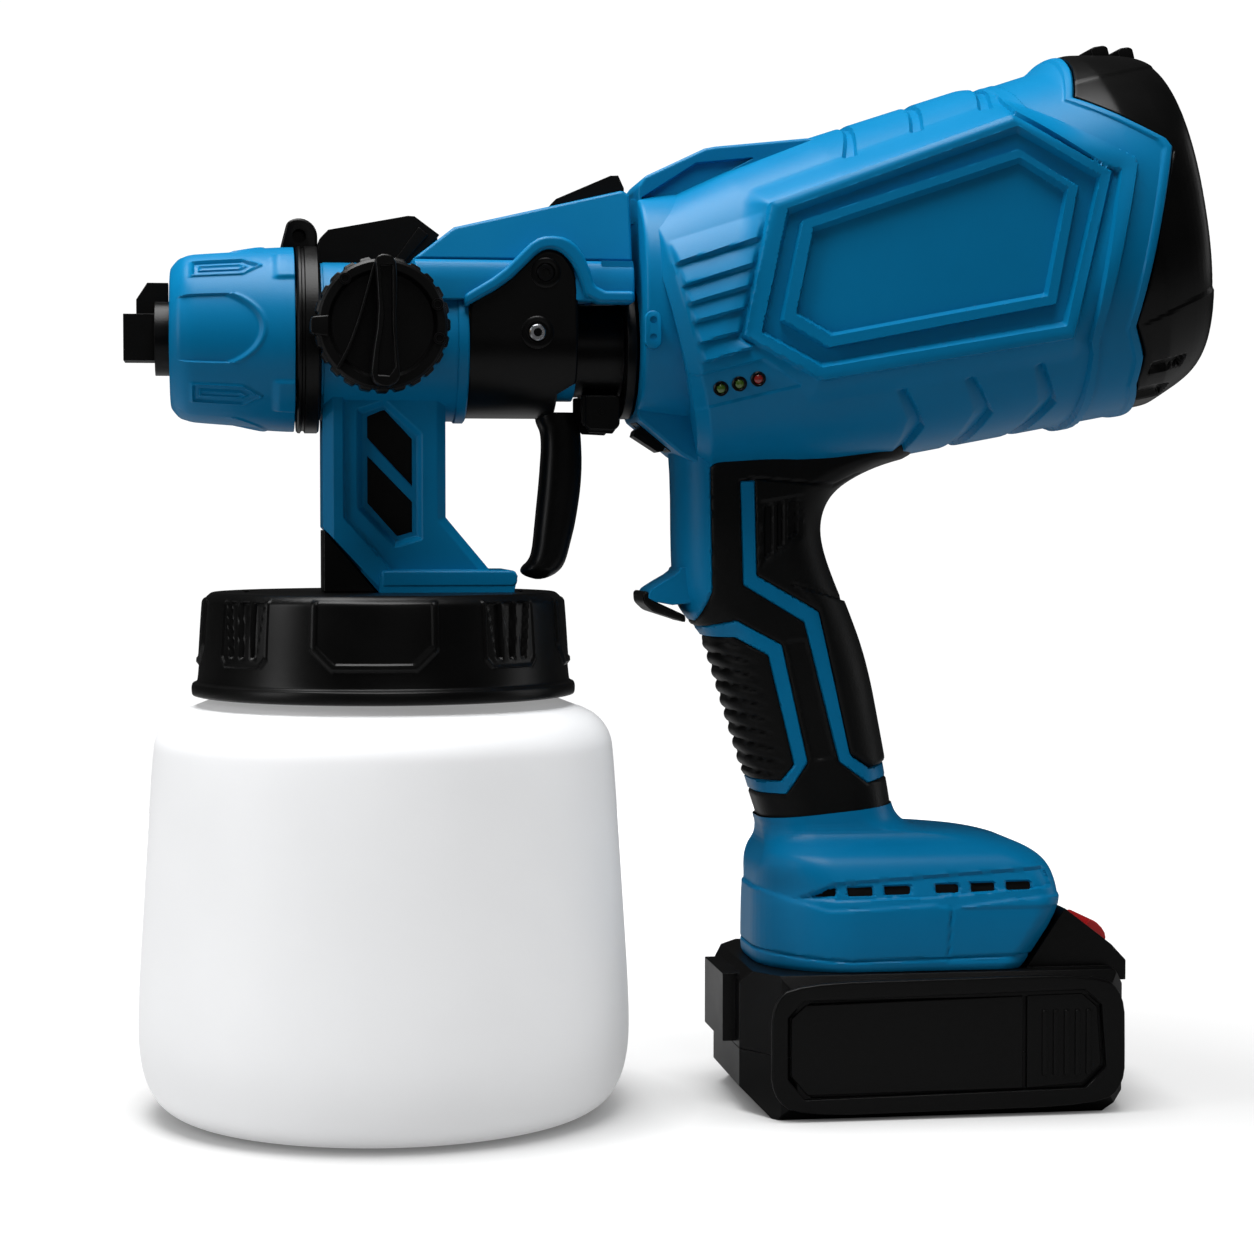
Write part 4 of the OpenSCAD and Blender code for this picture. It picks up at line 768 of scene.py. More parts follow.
# %% Ring of copies
ring_tree, given, result = copies_tree(
    "ring_of_copies", ("Centre", "Vector", (0, 0, 0)), ("Axis", "Vector", (0, 0, 1)), ("Step", "Float", 0.1))
dots = add_node(ring_tree, "GeometryNodePoints")
number = add_node(ring_tree, "GeometryNodeInputIndex")
turn = add_node(ring_tree, "ShaderNodeMath", "MULTIPLY")
rotation = add_node(ring_tree, "FunctionNodeAxisAngleToRotation")
shift = add_node(ring_tree, "ShaderNodeVectorMath", "SCALE", Scale=-1)
to_centre = add_node(ring_tree, "GeometryNodeTransform")
place = add_node(ring_tree, "GeometryNodeInstanceOnPoints")
wire(ring_tree,
     (given, "Count", dots, "Count"),
     (given, "Centre", dots, "Position"),
     (number, 0, turn, 0),
     (given, "Step", turn, 1),
     (given, "Axis", rotation, "Axis"),
     (turn, 0, rotation, "Angle"),
     (given, "Centre", shift, 0),
     (given, "Geometry", to_centre, "Geometry"),
     (shift, "Vector", to_centre, "Translation"),
     (dots, 0, place, "Points"),
     (to_centre, 0, place, "Instance"),
     (rotation, "Rotation", place, "Rotation"))
end_tree(ring_tree, given, result, place)
print("tree:", ring_tree.name, len(ring_tree.nodes), "nodes")

# %% Row of copies
row_tree, given, result = copies_tree("row_of_copies", ("Offset", "Vector", (0.01, 0, 0)))
row_line = add_node(row_tree, "GeometryNodeMeshLine")
place = add_node(row_tree, "GeometryNodeInstanceOnPoints")
wire(row_tree,
     (given, "Count", row_line, "Count"),
     (given, "Offset", row_line, "Offset"),
     (row_line, "Mesh", place, "Points"),
     (given, "Geometry", place, "Instance"))
end_tree(row_tree, given, result, place)
print("tree:", row_tree.name, len(row_tree.nodes), "nodes")

# %% Copies as plain meshes
def repeated(mesh, tree, finish_used, **values):
    """The tree's result on a mesh, as a plain mesh; values are its named inputs."""
    wanted = dict(values, Finish=finish_used)

    def set_up(holder):
        modifier = holder.modifiers.new("copies", "NODES")
        modifier.node_group = tree
        for item in tree.interface.items_tree:
            if item.item_type == "SOCKET" and item.in_out == "INPUT" and item.name in wanted:
                modifier[item.identifier] = wanted[item.name]
    return plain(mesh, set_up)

def ring(mesh, finish_used, count, centre, axis, step):
    """Copies round an axis, step in degrees."""
    return repeated(mesh, ring_tree, finish_used, Count=count, Centre=[c * MM for c in centre],
                    Axis=[float(a) for a in axis], Step=math.radians(step))

def row(mesh, finish_used, count, offset):
    """Copies along a line, offset in mm."""
    return repeated(mesh, row_tree, finish_used, Count=count, Offset=[c * MM for c in offset])
print("copies ready")

# %% [markdown]
# ## Milky cup
# The cup is blown from milky plastic, so it has no sharp edge anywhere. A profile with
# its corners cut away is spun round the upright axis: down the outside, under the foot,
# and up again inside, one wall thickness further in.

# %% Cup
cup_outside = softened([(135.4, 45.7), (117, 45.8), (114.4, 46.4), (112.4, 51), (109.9, 58.3), (104.6, 62.6),
                        (98, 63.5), (62, 65.8), (26.6, 68), (14, 67.3), (6.0, 64.4), (1.4, 59.5), (0.05, 53),
                        (0.05, 44)], 3)
cup_inside = softened([(2.3, 44), (2.6, 53), (4.2, 58), (8.2, 62), (15, 64.8), (27, 65.6), (62, 63.4),
                       (98, 61.1), (103.6, 60.2), (107.9, 56.6), (110.3, 50), (112, 44.5), (115, 43.6),
                       (135.4, 43.5)], 2)
cup_profile = [(2.3, 0)] + cup_inside.tolist() + cup_outside.tolist() + [(1.2, 40), (1.2, 0)]
cup_mesh = spun("cup_bottle", cup_profile, (0, 0, 0), (0, 0, 1), 180)
add_piece("cup_bottle", cup_mesh, glowing_milk, "cup", ["cup"], 50)
print("cup:", len(cup_mesh.polygons), "faces")

# %% [markdown]
# ## Screw collar
# The black collar clamps the cup. Its side is a cone with four raised panels and four
# grips between them, each with three tapering flutes. The relief is drawn on the
# unrolled side: arc length across, height up.

# %% Turned skins in eight sectors
SECTOR = 45

def refined(profile, step, sideways=1):
    """A profile with extra points, so that none is much more than step from the next."""
    points = [profile[0]]
    for a, b in zip(profile[:-1], profile[1:]):
        steps = max(1, int(math.hypot(a[0] - b[0], (a[1] - b[1]) * sideways) / step))
        points += [a + (b - a) * i / steps for i in range(1, steps + 1)]
    return np.array(points)

def ring_rows(profile, cross, up, centre_z=0):
    """Rows of points round an axis along X from a profile of (x, radius); cross and up shape a row."""
    return np.stack([np.stack([0 * cross + x, r * cross, centre_z + r * up], -1) for x, r in profile])

def sectors(angle, turned, radius):
    """The angle of columns round an axis, whether their sector is even, and the way from its middle."""
    turn = np.degrees(angle)[None, :] + turned + SECTOR / 2
    return turn, np.floor(turn / SECTOR) % 2 == 0, np.radians(turn % SECTOR - SECTOR / 2) * radius
print("sectors:", 360 // SECTOR)

# %% Collar
COLLAR_TURN = 96
COLLAR_RADIUS = 52
FLUTE_DEPTH = 1.3
collar_profile = softened([(143.4, 38.6), (143.45, 46.4), (143.2, 47.6), (141.4, 49.4), (140.2, 49.7),
                           (119.6, 51.0), (118.8, 51.6), (118.4, 52.8), (115.6, 52.8), (115.0, 52.2),
                           (114.6, 46.6)], 2)
collar_bore = [(114.6, 46.6), (138.5, 46.6), (138.5, 38.6), (143.4, 38.6)]
collar_panel = [(-17.4, 150), (17.4, 150), (17.4, 129.4), (11.4, 123.9), (-11.4, 123.9), (-17.4, 129.4)]
grip_frame = [(-9.6, 150), (9.6, 150), (9.6, 126.5), (7.4, 124.2), (-7.4, 124.2), (-9.6, 126.5)]
flutes = [[(s - 2.0, 141.2), (s + 2.0, 141.2), (s + 0.7 - 0.2 * s, 126.6), (s - 0.7 - 0.2 * s, 126.6)]
          for s in (-5.7, 0, 5.7)]

def collar_relief(s, z, on_panel):
    """Height of the relief: raised panels with a sunk field, and framed grips with flutes."""
    panel_gap = inside(s, z, collar_panel)
    panel = 0.8 * rise(panel_gap, 0.7) - 0.45 * rise(panel_gap + 1.7, 0.6)
    grip = 0.55 * rise(np.abs(inside(s, z, grip_frame) + 0.3) - 0.35, 0.5)
    for flute in flutes:
        grip = grip - FLUTE_DEPTH * rise(inside(s, z, flute), 0.9)
    return np.where(on_panel, panel, grip)

def collar_mesh(name, cols=720):
    """The collar's outside with its relief and its plain bore, as one closed ring."""
    line = refined(collar_profile, 0.45, 0)
    angle = np.radians(np.linspace(0, 360, cols, endpoint=False))
    z, radius = [np.repeat(line[:, i:i + 1], cols, 1) for i in (0, 1)]
    turn, on_panel, s = sectors(angle, COLLAR_TURN, COLLAR_RADIUS)
    side = (z < 141.9) & (z > 119)
    radius = radius + collar_relief(s + 0 * z, z, on_panel) * side * (radius > 49)
    skin = np.stack([radius * np.cos(angle), radius * np.sin(angle), z], -1)
    bore = ring_rows(collar_bore, np.cos(angle), np.sin(angle))[..., [1, 2, 0]]
    outside = outward(grid_mesh("outside", skin, around=True))
    return outward(joined(name, outside, grid_mesh("bore", bore, around=True)))

collar = collar_mesh("cup_collar_ring")
add_piece("cup_collar_ring", collar, black, "cup_collar", ["cup_collar"], 35)
print("collar:", len(collar.polygons), "faces")

# %% [markdown]
# ## Nozzle nut
# The blue nut holds the air cap. It is a tapering ring with a chamfered mouth, four
# D-shaped finger pads and four long arrow marks between them, all turned round the
# nozzle axis. The relief is again drawn on the unrolled side.

# %% Nozzle nut
AXIS_Z = 212.5
NUT_TURN = -4
NUT_RADIUS = 24.5
nut_profile = softened([(-57.4, 11.5), (-58.0, 12.3), (-58.0, 18.2), (-57.4, 19.6), (-54.8, 22.4),
                        (-53, 23.3), (-50, 23.7), (-24.9, 25.4), (-24.4, 24.9), (-24.4, 17.3)], 2)
nut_bore = [(-24.4, 17.3), (-50, 17.3), (-51, 16.5), (-57.4, 11.5)]
arrow_mark = [(-52, -3.1), (-38.6, -3.1), (-33.6, 0), (-38.6, 3.1), (-52, 3.1)]
lug_mark = [(-31, -5), (-20, -5), (-20, 5), (-31, 5)]

def nut_relief(x, turn, on_pad, s):
    """Height of the relief: sunk finger pads, arrows with a fine outline, and lugs at the rear edge."""
    wide = np.radians((turn - SECTOR / 2 + SECTOR) % (2 * SECTOR) - SECTOR) * NUT_RADIUS + 0 * x
    pad_gap = (np.hypot((x + 57.5) / 24, wide / 12.4) - 1) * 13
    pad = -0.75 * rise(pad_gap, 0.9) + 0.3 * rise(np.abs(pad_gap - 0.4) - 0.4, 0.5)
    mark = inside(x, s, arrow_mark)
    arrow = 0.5 * rise(np.abs(mark) - 0.35, 0.5) - 0.35 * rise(mark + 0.3, 0.5)
    arrow = arrow + 0.5 * rise(np.abs(mark + 2.2) - 0.3, 0.5)
    height = np.where(on_pad, pad, arrow) * ease(x, -56, -53.5)
    lugs = rise(inside(x, np.where(on_pad, 9, s), lug_mark), 1.2) * ease(x, -31, -28.5)
    return height + 0.8 * lugs * (x > -33)

def nut_mesh(name, cols=480):
    """The nut as one closed ring: its outside with the relief, then its plain bore."""
    line = refined(nut_profile, 0.42)
    angle = np.radians(np.linspace(0, 360, cols, endpoint=False))
    x, radius = [np.repeat(line[:, i:i + 1], cols, 1) for i in (0, 1)]
    turn, on_pad, s = sectors(angle, NUT_TURN, NUT_RADIUS)
    radius = radius + nut_relief(x, turn, on_pad, s + 0 * x) * (radius > 20)
    skin = np.stack([x, -radius * np.cos(angle), AXIS_Z + radius * np.sin(angle)], -1)
    bore = ring_rows(nut_bore, -np.cos(angle), np.sin(angle), AXIS_Z)
    return outward(grid_mesh(name, np.concatenate([skin, bore]), around=True))

nut = nut_mesh("nozzle_nut_ring")
add_piece("nozzle_nut_ring", nut, blue, "nozzle_nut", ["nozzle_nut"], 32)
print("nut:", len(nut.polygons), "faces")

# %% [markdown]
# ## Pattern ring
# The ring behind the nut turns the spray fan. It has a groove round it and an ear with
# a dimple in each face.

# %% Pattern ring
EAR_X, EAR_Z, EAR_RADIUS = -23, 240.5, 5
ring_profile = [(-24, 17.4), (-24, 25.1), (-23.5, 25.6), (-22.9, 25.6), (-22.6, 25.0), (-22.0, 25.0),
                (-21.7, 25.6), (-18.4, 25.6), (-17.9, 25.1), (-17.9, 17.4)]
ring_body = spun("ring", ring_profile, (0, 0, AXIS_Z), (1, 0, 0), 160, closed=True)
ear_turn = np.radians(np.linspace(-50, 230, 24))[8:-4]
ear_outline = [(-28, 231), (-28, 238)]
ear_outline += [(EAR_X - EAR_RADIUS * math.cos(t), EAR_Z + EAR_RADIUS * math.sin(t)) for t in ear_turn]
ear_outline += [(-18, 238), (-18, 231)]
dimples = [spun("dimple", [(0.9, 1.9), (9, 1.9)], (-23, 0, 240.6), (0, side, 0), 24) for side in SIDES]
ear = carved(plate("ear", ear_outline, -3.4, 3.4, 0.8, 3), *dimples)
pattern = joined("pattern_ring_body", ring_body, ear)
add_piece("pattern_ring_body", pattern, black, "pattern_ring", ["pattern_ring"])
print("ring:", len(pattern.polygons), "faces")

# %% [markdown]
# ## Solids that only get round edges
# The air cap, the caps and covers, the latch, the switch and the battery's shells have
# their full form in the construction model. Each is shown as a copy whose sharp edges
# are bevelled, because a moulded edge is never sharp and a round one catches the light.
# The battery's two shells are shown 1.2 mm further back than they are built.

# %% Rounded copies
BATTERY_BACK = 1.2

def cad_copy(name, node, bevel):
    """A construction solid's own shape with rounded edges: merged, its flat faces joined, then bevelled."""
    mesh = frame["nodes"][node].data.copy()
    mesh.name = name
    work = bmesh.new()
    work.from_mesh(mesh)
    bmesh.ops.remove_doubles(work, verts=work.verts, dist=MERGE)
    bmesh.ops.dissolve_limit(work, angle_limit=math.radians(1), verts=work.verts, edges=work.edges)
    work.to_mesh(mesh)
    work.free()
    return rounded(mesh, bevel, 2, 25) if bevel else mesh

def body_of(node):
    """The moving body that the construction model gives a node."""
    return frame["nodes"][node]["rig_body"]

rounded_solids = {"air_cap": 0.6, "top_shroud": 0.5, "inlet_tube": 0.4, "release_latch": 0.4,
                  "neck_core": 0.5, "inlet_socket": 0.3, "finger_rest": 0.8, "switch_body": 0.4,
                  "power_switch": 0.4, "cup_cover": 0.5, "terminal_block": 0.3, "pack_upper": 0.9,
                  "pack_lower": 0.9}
for node, bevel in rounded_solids.items():
    name = node + "_rounded"
    piece = add_piece(name, cad_copy(name, node, bevel), black, body_of(node), [node], 35)
    if body_of(node) == "battery":
        piece.data.transform(Matrix.Translation((BATTERY_BACK * MM, 0, 0)))
    print(node, len(piece.data.polygons), "faces")

# %% [markdown]
# ## Hidden works
# Needle, springs, seals, motor, fan, cells and board are right as they come from the
# construction model, so each only gets its own finish.

# %% Finishes for the solids that stay
works = {
    steel: "fluid_tip valve_stem needle needle_spring latch_pin latch_spring motor_can rotor_shaft bearings "
           "button_spring",
    dark_steel: "housing_screws",
    brass: "valve_gland needle_collar suction_filter",
    soft_rubber: "nozzle_seal needle_packing inlet_seal cup_gasket pressure_valve motor_mount",
    black: "front_sleeve fan_cover",
    # The suction tube shares the cup's finish and its painted glow.
    glowing_milk: "suction_tube",
    nylon: "impeller",
    foam: "air_filter",
    board_green: "control_board",
    cell_sleeve: "pack_cells",
    wire_red: "power_leads"}
for finish_used, names in works.items():
    for node in names.split():
        mesh = frame["nodes"][node].data
        mesh.materials.clear()
        mesh.materials.append(finish_used)
print("finished in place:", sum(len(names.split()) for names in works.values()))

# %% [markdown]
# ## Throat, fin and the slope for the switch
# In front of the barrel a short round throat takes the spray head's spigot. A wedge
# shaped fin runs up from it over the barrel, with a sunk panel in each side, and below
# it a slope carries the rocker switch.

# %% Throat
THROAT_Z = 222.0
THROAT_SQUARE = 2.3
SOCKET_Z, SOCKET_RADIUS = 210.0, 18.35
socket_mouth = [(69.5, SOCKET_RADIUS), (68.9, SOCKET_RADIUS + 0.6)]
throat_profile = [(68.8, 29.8), (68.95, 30.5), (69.4, 30.95), (70.2, 31.1), (76, 31.8), (84, 32.6), (92, 33),
                  (98, 33)]

def throat_mesh(name, cols=200):
    """From the socket's round mouth over the front face to the throat's rounded square."""
    angle = np.radians(np.linspace(0, 360, cols, endpoint=False))
    across, sideways = rounded_square(angle, THROAT_SQUARE)
    mouth = ring_rows(socket_mouth, np.cos(angle), np.sin(angle), SOCKET_Z)
    outside = ring_rows(throat_profile, sideways, across, THROAT_Z)
    return outward(grid_mesh(name, np.concatenate([mouth, outside]), around=True))

throat = throat_mesh("throat")
add_piece("throat", throat, blue, "turbine_body")
print("throat:", len(throat.polygons), "faces")

# %% Fin and slope
BODY_HALF = 14
fin_outline = [(68.9, 233), (68.9, 254.4), (70.7, 257.1), (87.5, 265.1), (90.5, 265.7), (115.7, 268.4),
               (126, 269), (120, 245), (80, 233)]
fin_panel = [(69.9, 251.2), (85.2, 261.0), (101.1, 262.7), (75.9, 248.8), (72.9, 236.9), (69.9, 236.9)]
fin = plate("fin", fin_outline, -BODY_HALF, BODY_HALF, 1.0, 3)
fin = carved(fin, cutter(fin_panel, -16, -12.8), cutter(fin_panel, 12.8, 16))
fin = rounded(fin, 0.25, 1, 50)
add_piece("fin", fin, blue, "turbine_body")
slope_outline = [(68.9, 200), (68.9, 191.2), (69.6, 190.4), (81, 181), (90, 176), (100, 174.5), (100, 204)]
slope = plate("slope", slope_outline, -BODY_HALF, BODY_HALF, 1.2, 3)
add_piece("switch_slope", slope, blue, "turbine_body")
print("fin and slope:", len(fin.polygons), len(slope.polygons), "faces")

# %% [markdown]
# ## Lamps and the lock plate
# Three lamps sit in dark rings in a shallow panel. A small oval plate with one hole is
# let into the throat.

# %% Lamps
LAMPS_AT = (0.2, 5.2, 10.3)
LAMPS_DOWN = 16.3
lamp_rim = [(-0.6, 1.3), (0.3, 1.3), (0.5, 1.5), (0.5, 1.85), (0.3, 2.05), (-0.6, 2.05)]
lamp_dome = [(-0.6, 1.3), (0.1, 1.3), (0.35, 1.15), (0.55, 0.75), (0.62, 0.02)]

def lamp_parts(u):
    """The rim and the dome of a lamp, set on the barrel's surface and leaning with it."""
    x, z = to_side(u, -LAMPS_DOWN)
    radius = float(read_off(barrel_line, u))
    reach = radius * (1 - (LAMPS_DOWN / radius) ** SQUARE) ** (1 / SQUARE)
    lean = Vector((0.06, -1, -0.18)).normalized()
    centre = Vector((x, -reach + 0.45, z))
    return spun("rim", lamp_rim, centre, lean, 28, closed=True), spun("dome", lamp_dome, centre, lean, 24)

lamp_rims, (green_left, green_right, red_dome) = zip(*[lamp_parts(u) for u in LAMPS_AT])
add_piece("lamp_rings", joined("lamp_rings", *lamp_rims), black, "turbine_body")
greens = joined("green_lamps", green_left, green_right)
add_piece("green_lamps", greens, green_lens, "turbine_body", ["leds_green"])
add_piece("red_lamp", joined("red_lamp", red_dome), red_lens, "turbine_body", ["led_red"])
print("lamps at", LAMPS_AT, "mm along the barrel")

# %% Lock plate
OVAL_X, OVAL_Z = 70.7, 214.1
OVAL_RADIUS, OVAL_RISE = 2.3, 2.9
FIRST_POINT = 0.13
oval_turn = np.linspace(FIRST_POINT, 2 * math.pi + FIRST_POINT, 24, endpoint=False)
oval_outline = [(OVAL_X + OVAL_RADIUS * math.cos(t),
                 OVAL_Z + math.copysign(OVAL_RISE, math.sin(t)) + OVAL_RADIUS * math.sin(t))
                for t in oval_turn]
hole, dish = [spun("hole", [(-34, 0.95), (depth, 0.95)], (OVAL_X, 0, z), (0, 1, 0), 20)
              for depth, z in ((-30.2, 216.8), (-31.0, 212.2))]
oval = carved(plate("lock_plate", oval_outline, -31.35, -28.5, 0.35), hole, dish)
add_piece("lock_plate", oval, blue, "turbine_body")
print("lock plate:", len(oval.polygons), "faces")

# %% [markdown]
# ## Pistol grip
# The grip is a blue core with a black rubber sleeve moulded over it. Both are the same
# loft: rounded boxes stacked along the height, with the front and the back taken from
# the grip's side view. The core steps in where rubber covers it. The sleeve is the same
# skin trimmed to its own outline, so the blue bands between really are gaps.

# %% Grip outlines
grip_front = softened([(76, 106.4), (80.5, 105.4), (88.9, 102.6), (110, 96.2), (127, 91.1), (131, 89.4),
                       (135, 85.8), (139.5, 82.4), (147, 80.9), (182, 80.6), (192, 78)], 2)
grip_rear = softened([(76, 143.2), (83.5, 142.2), (94.9, 140.2), (108, 137.7), (117.7, 135.8), (127.5, 133.2),
                      (137.6, 129.4), (147, 125.4), (155, 122.6), (161, 121.8), (166.5, 122.9),
                      (171.2, 125.9), (175, 131.2), (178.6, 139), (181.3, 149), (192, 153)], 2)
rubber_area = [(88.8, 177.6), (97.4, 184.3), (121, 186), (160, 190), (160, 70), (101, 70), (100.9, 81.6),
               (99.8, 88.5), (97, 95.5), (60, 100), (60, 134.6), (85.8, 134.6), (89.4, 143.3)]
band_rear = [(97.2, 173.8), (98.1, 145.2), (115.2, 134.9), (125.2, 96), (133.7, 90), (152, 93.5), (152, 97.5),
             (134.3, 93.9), (128.3, 97.9), (119.4, 137.7), (101.7, 147.7), (101.1, 173.9)]
band_front = [(60, 132.9), (86.6, 132.9), (96.1, 135.3), (108.8, 128.6), (116.2, 95.8), (110.3, 87), (60, 87)]
pad_outline = [(60, 130.4), (88.2, 130.4), (95.8, 130.6), (105.1, 125.8), (112.5, 95.3), (108.8, 90.6),
               (60, 90.2)]
print("grip depth at mid height:", round(read_off(grip_rear, 120) - read_off(grip_front, 120), 1), "mm")

# %% Rounded boxes and their normals
def rounded_box(x0, x1, half, r0, r1, count):
    """Points round a box from x0 to x1 and half to each side, equally spaced, corner radii r0 and r1."""
    quarter = np.linspace(0, math.pi / 2, 16)
    parts = []
    for sx, sy, r in ((1, 1, r1), (-1, 1, r0), (-1, -1, r0), (1, -1, r1)):
        turn = quarter if sx * sy > 0 else quarter[::-1]
        cx = (x1 - r) if sx > 0 else (x0 + r)
        parts.append(np.stack([cx + sx * r * np.cos(turn), sy * (half - r + r * np.sin(turn))], -1))
    line = np.concatenate(parts + [parts[0][:1]])
    run = run_along(line)
    at = np.linspace(0, run[-1], count, endpoint=False)
    return np.stack([np.interp(at, run, line[:, 0]), np.interp(at, run, line[:, 1])], -1)

def outward_normals(grid):
    """Unit normals of a grid whose rows are closed rings, pointing out of it."""
    along = np.gradient(grid, axis=0)
    around = np.roll(grid, -1, 1) - np.roll(grid, 1, 1)
    normal = np.cross(around, along)
    normal = normal / np.maximum(np.linalg.norm(normal, axis=2, keepdims=True), 1e-9)
    return -normal if (normal[:, :, 1] * grid[:, :, 1]).sum() < 0 else normal

def stepped(grid, normal, height):
    """The grid moved along its normals by a height in mm."""
    return grid + normal * height[..., None]

def moved_onto(grid, steep, outlines, width, cell=0.6):
    """The grid with its steep points near the outlines' edges moved onto them, in side view only."""
    x, z = snapped(grid[:, :, 0], grid[:, :, 2], [edge_of(outline, width) for outline in outlines], cell)
    moved = grid.copy()
    moved[:, :, 0] = np.where(steep, x, grid[:, :, 0])
    moved[:, :, 2] = np.where(steep, z, grid[:, :, 2])
    return moved
print("points of a test box:", len(rounded_box(0, 40, 16, 5, 5, 60)))

# %% Grip's skin
GRIP_HALF = 16.5
GRIP_CORNERS = (13, 13.5)
grip_levels = np.concatenate([np.arange(77.5, 168, 0.62), np.arange(168, 184.5, 0.4)])

def grip_skin(cols=230):
    """Rounded boxes from the foot to the barrel, between the front and the rear line."""
    rows = []
    for z in grip_levels:
        box = rounded_box(read_off(grip_front, z), read_off(grip_rear, z), GRIP_HALF, *GRIP_CORNERS, cols)
        rows.append(np.column_stack([box, np.full(cols, z)]))
    return np.array(rows)

skin = grip_skin()
skin_normal = outward_normals(skin)
skin_steep = np.abs(skin_normal[:, :, 1]) > 0.35
print("grip skin:", skin.shape)

# %% Grip core
UNDER_RUBBER = 1.8

def rubber_and_bands(x, z):
    """Distances to the area of the rubber, and to the two bands in it that stay bare."""
    bands = np.minimum(inside(x, z, band_rear), inside(x, z, band_front))
    return inside(x, z, rubber_area), bands

core = moved_onto(skin, skin_steep, [rubber_area, band_rear, band_front, pad_outline], 0.5)
cx, cz = core[:, :, 0], core[:, :, 2]
rubber_gap, band_gap = rubber_and_bands(cx, cz)
covered = np.minimum(np.maximum(rubber_gap, -band_gap), inside(cx, cz, pad_outline))
core = stepped(core, skin_normal, -UNDER_RUBBER * rise(covered + 0.25, 0.5))
core_mesh = outward(grid_mesh("grip_core", core, around=True, ends=(True, True)))
add_piece("grip_core", core_mesh, blue, "turbine_body")
print("grip core:", len(core_mesh.polygons), "faces")

# %% Skins trimmed to an outline
def trimmed(name, grid, normal, field, depth=2.2, closed=True):
    """The part of a grid where field is below zero, cut exactly at zero, with a skirt that runs inwards."""
    rows, cols = field.shape
    points = grid.reshape(-1, 3).tolist()
    normals = normal.reshape(-1, 3).tolist()
    flat = field.reshape(-1)
    faces, cuts = [], {}

    def cut_at(a, b):
        key = (min(a, b), max(a, b))
        if key not in cuts:
            t = flat[a] / (flat[a] - flat[b])
            points.append([pa + t * (pb - pa) for pa, pb in zip(points[a], points[b])])
            normals.append([na + t * (nb - na) for na, nb in zip(normals[a], normals[b])])
            cuts[key] = len(points) - 1
        return cuts[key]

    keep = flat < 0
    for i in range(rows - 1):
        for j in range(cols if closed else cols - 1):
            k = (j + 1) % cols
            quad = (i * cols + j, i * cols + k, (i + 1) * cols + k, (i + 1) * cols + j)
            face = []
            for corner, after in zip(quad, quad[1:] + quad[:1]):
                if keep[corner]:
                    face.append(corner)
                if keep[corner] != keep[after]:
                    face.append(cut_at(corner, after))
            if len(set(face)) > 2:
                faces.append(face)
    used = sorted({p for face in faces for p in face})
    new = {old: index for index, old in enumerate(used)}
    mesh = bpy.data.meshes.new(name)
    corners = [[c * MM for c in points[p]] for p in used]
    mesh.from_pydata(corners, [], [[new[p] for p in face] for face in faces])
    mesh.update()
    inward = [Vector(normals[p]).normalized() * (-depth * MM) for p in used]
    return skirted(mesh, inward)

def skirted(mesh, inward):
    """The mesh with a skirt along its open border: each border point is repeated and moved inwards."""
    work = bmesh.new()
    work.from_mesh(mesh)
    work.verts.ensure_lookup_table()
    start = {tuple(v.co): v.index for v in work.verts}
    rim = [edge for edge in work.edges if edge.is_boundary]
    made = bmesh.ops.extrude_edge_only(work, edges=rim)
    for vert in made["geom"]:
        if isinstance(vert, bmesh.types.BMVert):
            vert.co = vert.co + inward[start[tuple(vert.co)]]
    bmesh.ops.recalc_face_normals(work, faces=work.faces)
    work.to_mesh(mesh)
    work.free()
    return mesh

def rolled(field, radius=0.7):
    """How far a surface drops near the edge of its outline."""
    share = np.clip(1 + field / radius, 0, 1)
    return -radius * (1 - np.sqrt(np.maximum(1 - share ** 2, 0)))
print("a rolled edge drops", -rolled(np.array([0.0]))[0], "mm")

# %% Rubber sleeve
SLEEVE_RAISE = 0.15
grip_slots = [[(104, 166.8), (106.2, 167.6), (106.2, 153.8), (104, 152.2)],
              [(107.6, 168.0), (109.3, 168.3), (109.3, 156.6), (107.6, 155.2)],
              [(110.8, 168.2), (113.4, 168.6), (113.4, 159.6), (110.8, 157.8)]]
slot_field = [(102.8, 168.2), (114.6, 170.2), (114.6, 158.6), (102.8, 149.8)]
bare_field = [(109.9, 129.4), (115.6, 130.0), (123.6, 97.2), (117.4, 96.4)]
rear_pad = [(112.5, 145.6), (126.4, 141.4), (150, 141), (150, 97), (134.3, 93.9), (128.3, 97.9),
            (119.4, 137.7)]
upper_line = [(99.8, 174.7), (124, 172.8), (131, 176)]
seam_line = [(112.0, 145.3), (126.4, 141.2), (140, 138)]

def sleeve_relief(x, z):
    """Height of the rubber's relief: a sunk field with slots, a bare field, a thick pad and two lines."""
    height = -0.5 * rise(inside(x, z, slot_field), 0.9)
    for slot in grip_slots:
        height -= 1.0 * rise(inside(x, z, slot), 0.7)
    height -= 0.6 * rise(inside(x, z, bare_field), 0.8)
    height += 0.7 * rise(inside(x, z, rear_pad) + 0.4, 2.2)
    height -= 0.5 * rise(near(x, z, upper_line) - 0.35, 0.6)
    height -= 0.7 * rise(near(x, z, seam_line) - 0.4, 0.6)
    return height

sleeve = moved_onto(skin, skin_steep, [slot_field, bare_field] + grip_slots, 0.8)
sx, sz = sleeve[:, :, 0], sleeve[:, :, 2]
rubber_gap, band_gap = rubber_and_bands(sx, sz)
sleeve_field = np.maximum(rubber_gap, -band_gap + 0.15)
sleeve = stepped(sleeve, skin_normal, sleeve_relief(sx, sz) + rolled(sleeve_field) + SLEEVE_RAISE)
sleeve_mesh = trimmed("grip_rubber", sleeve, skin_normal, sleeve_field)
add_piece("grip_rubber", sleeve_mesh, rubber_black, "turbine_body", ["grip_sleeve"])
print("rubber sleeve:", len(sleeve_mesh.polygons), "faces")

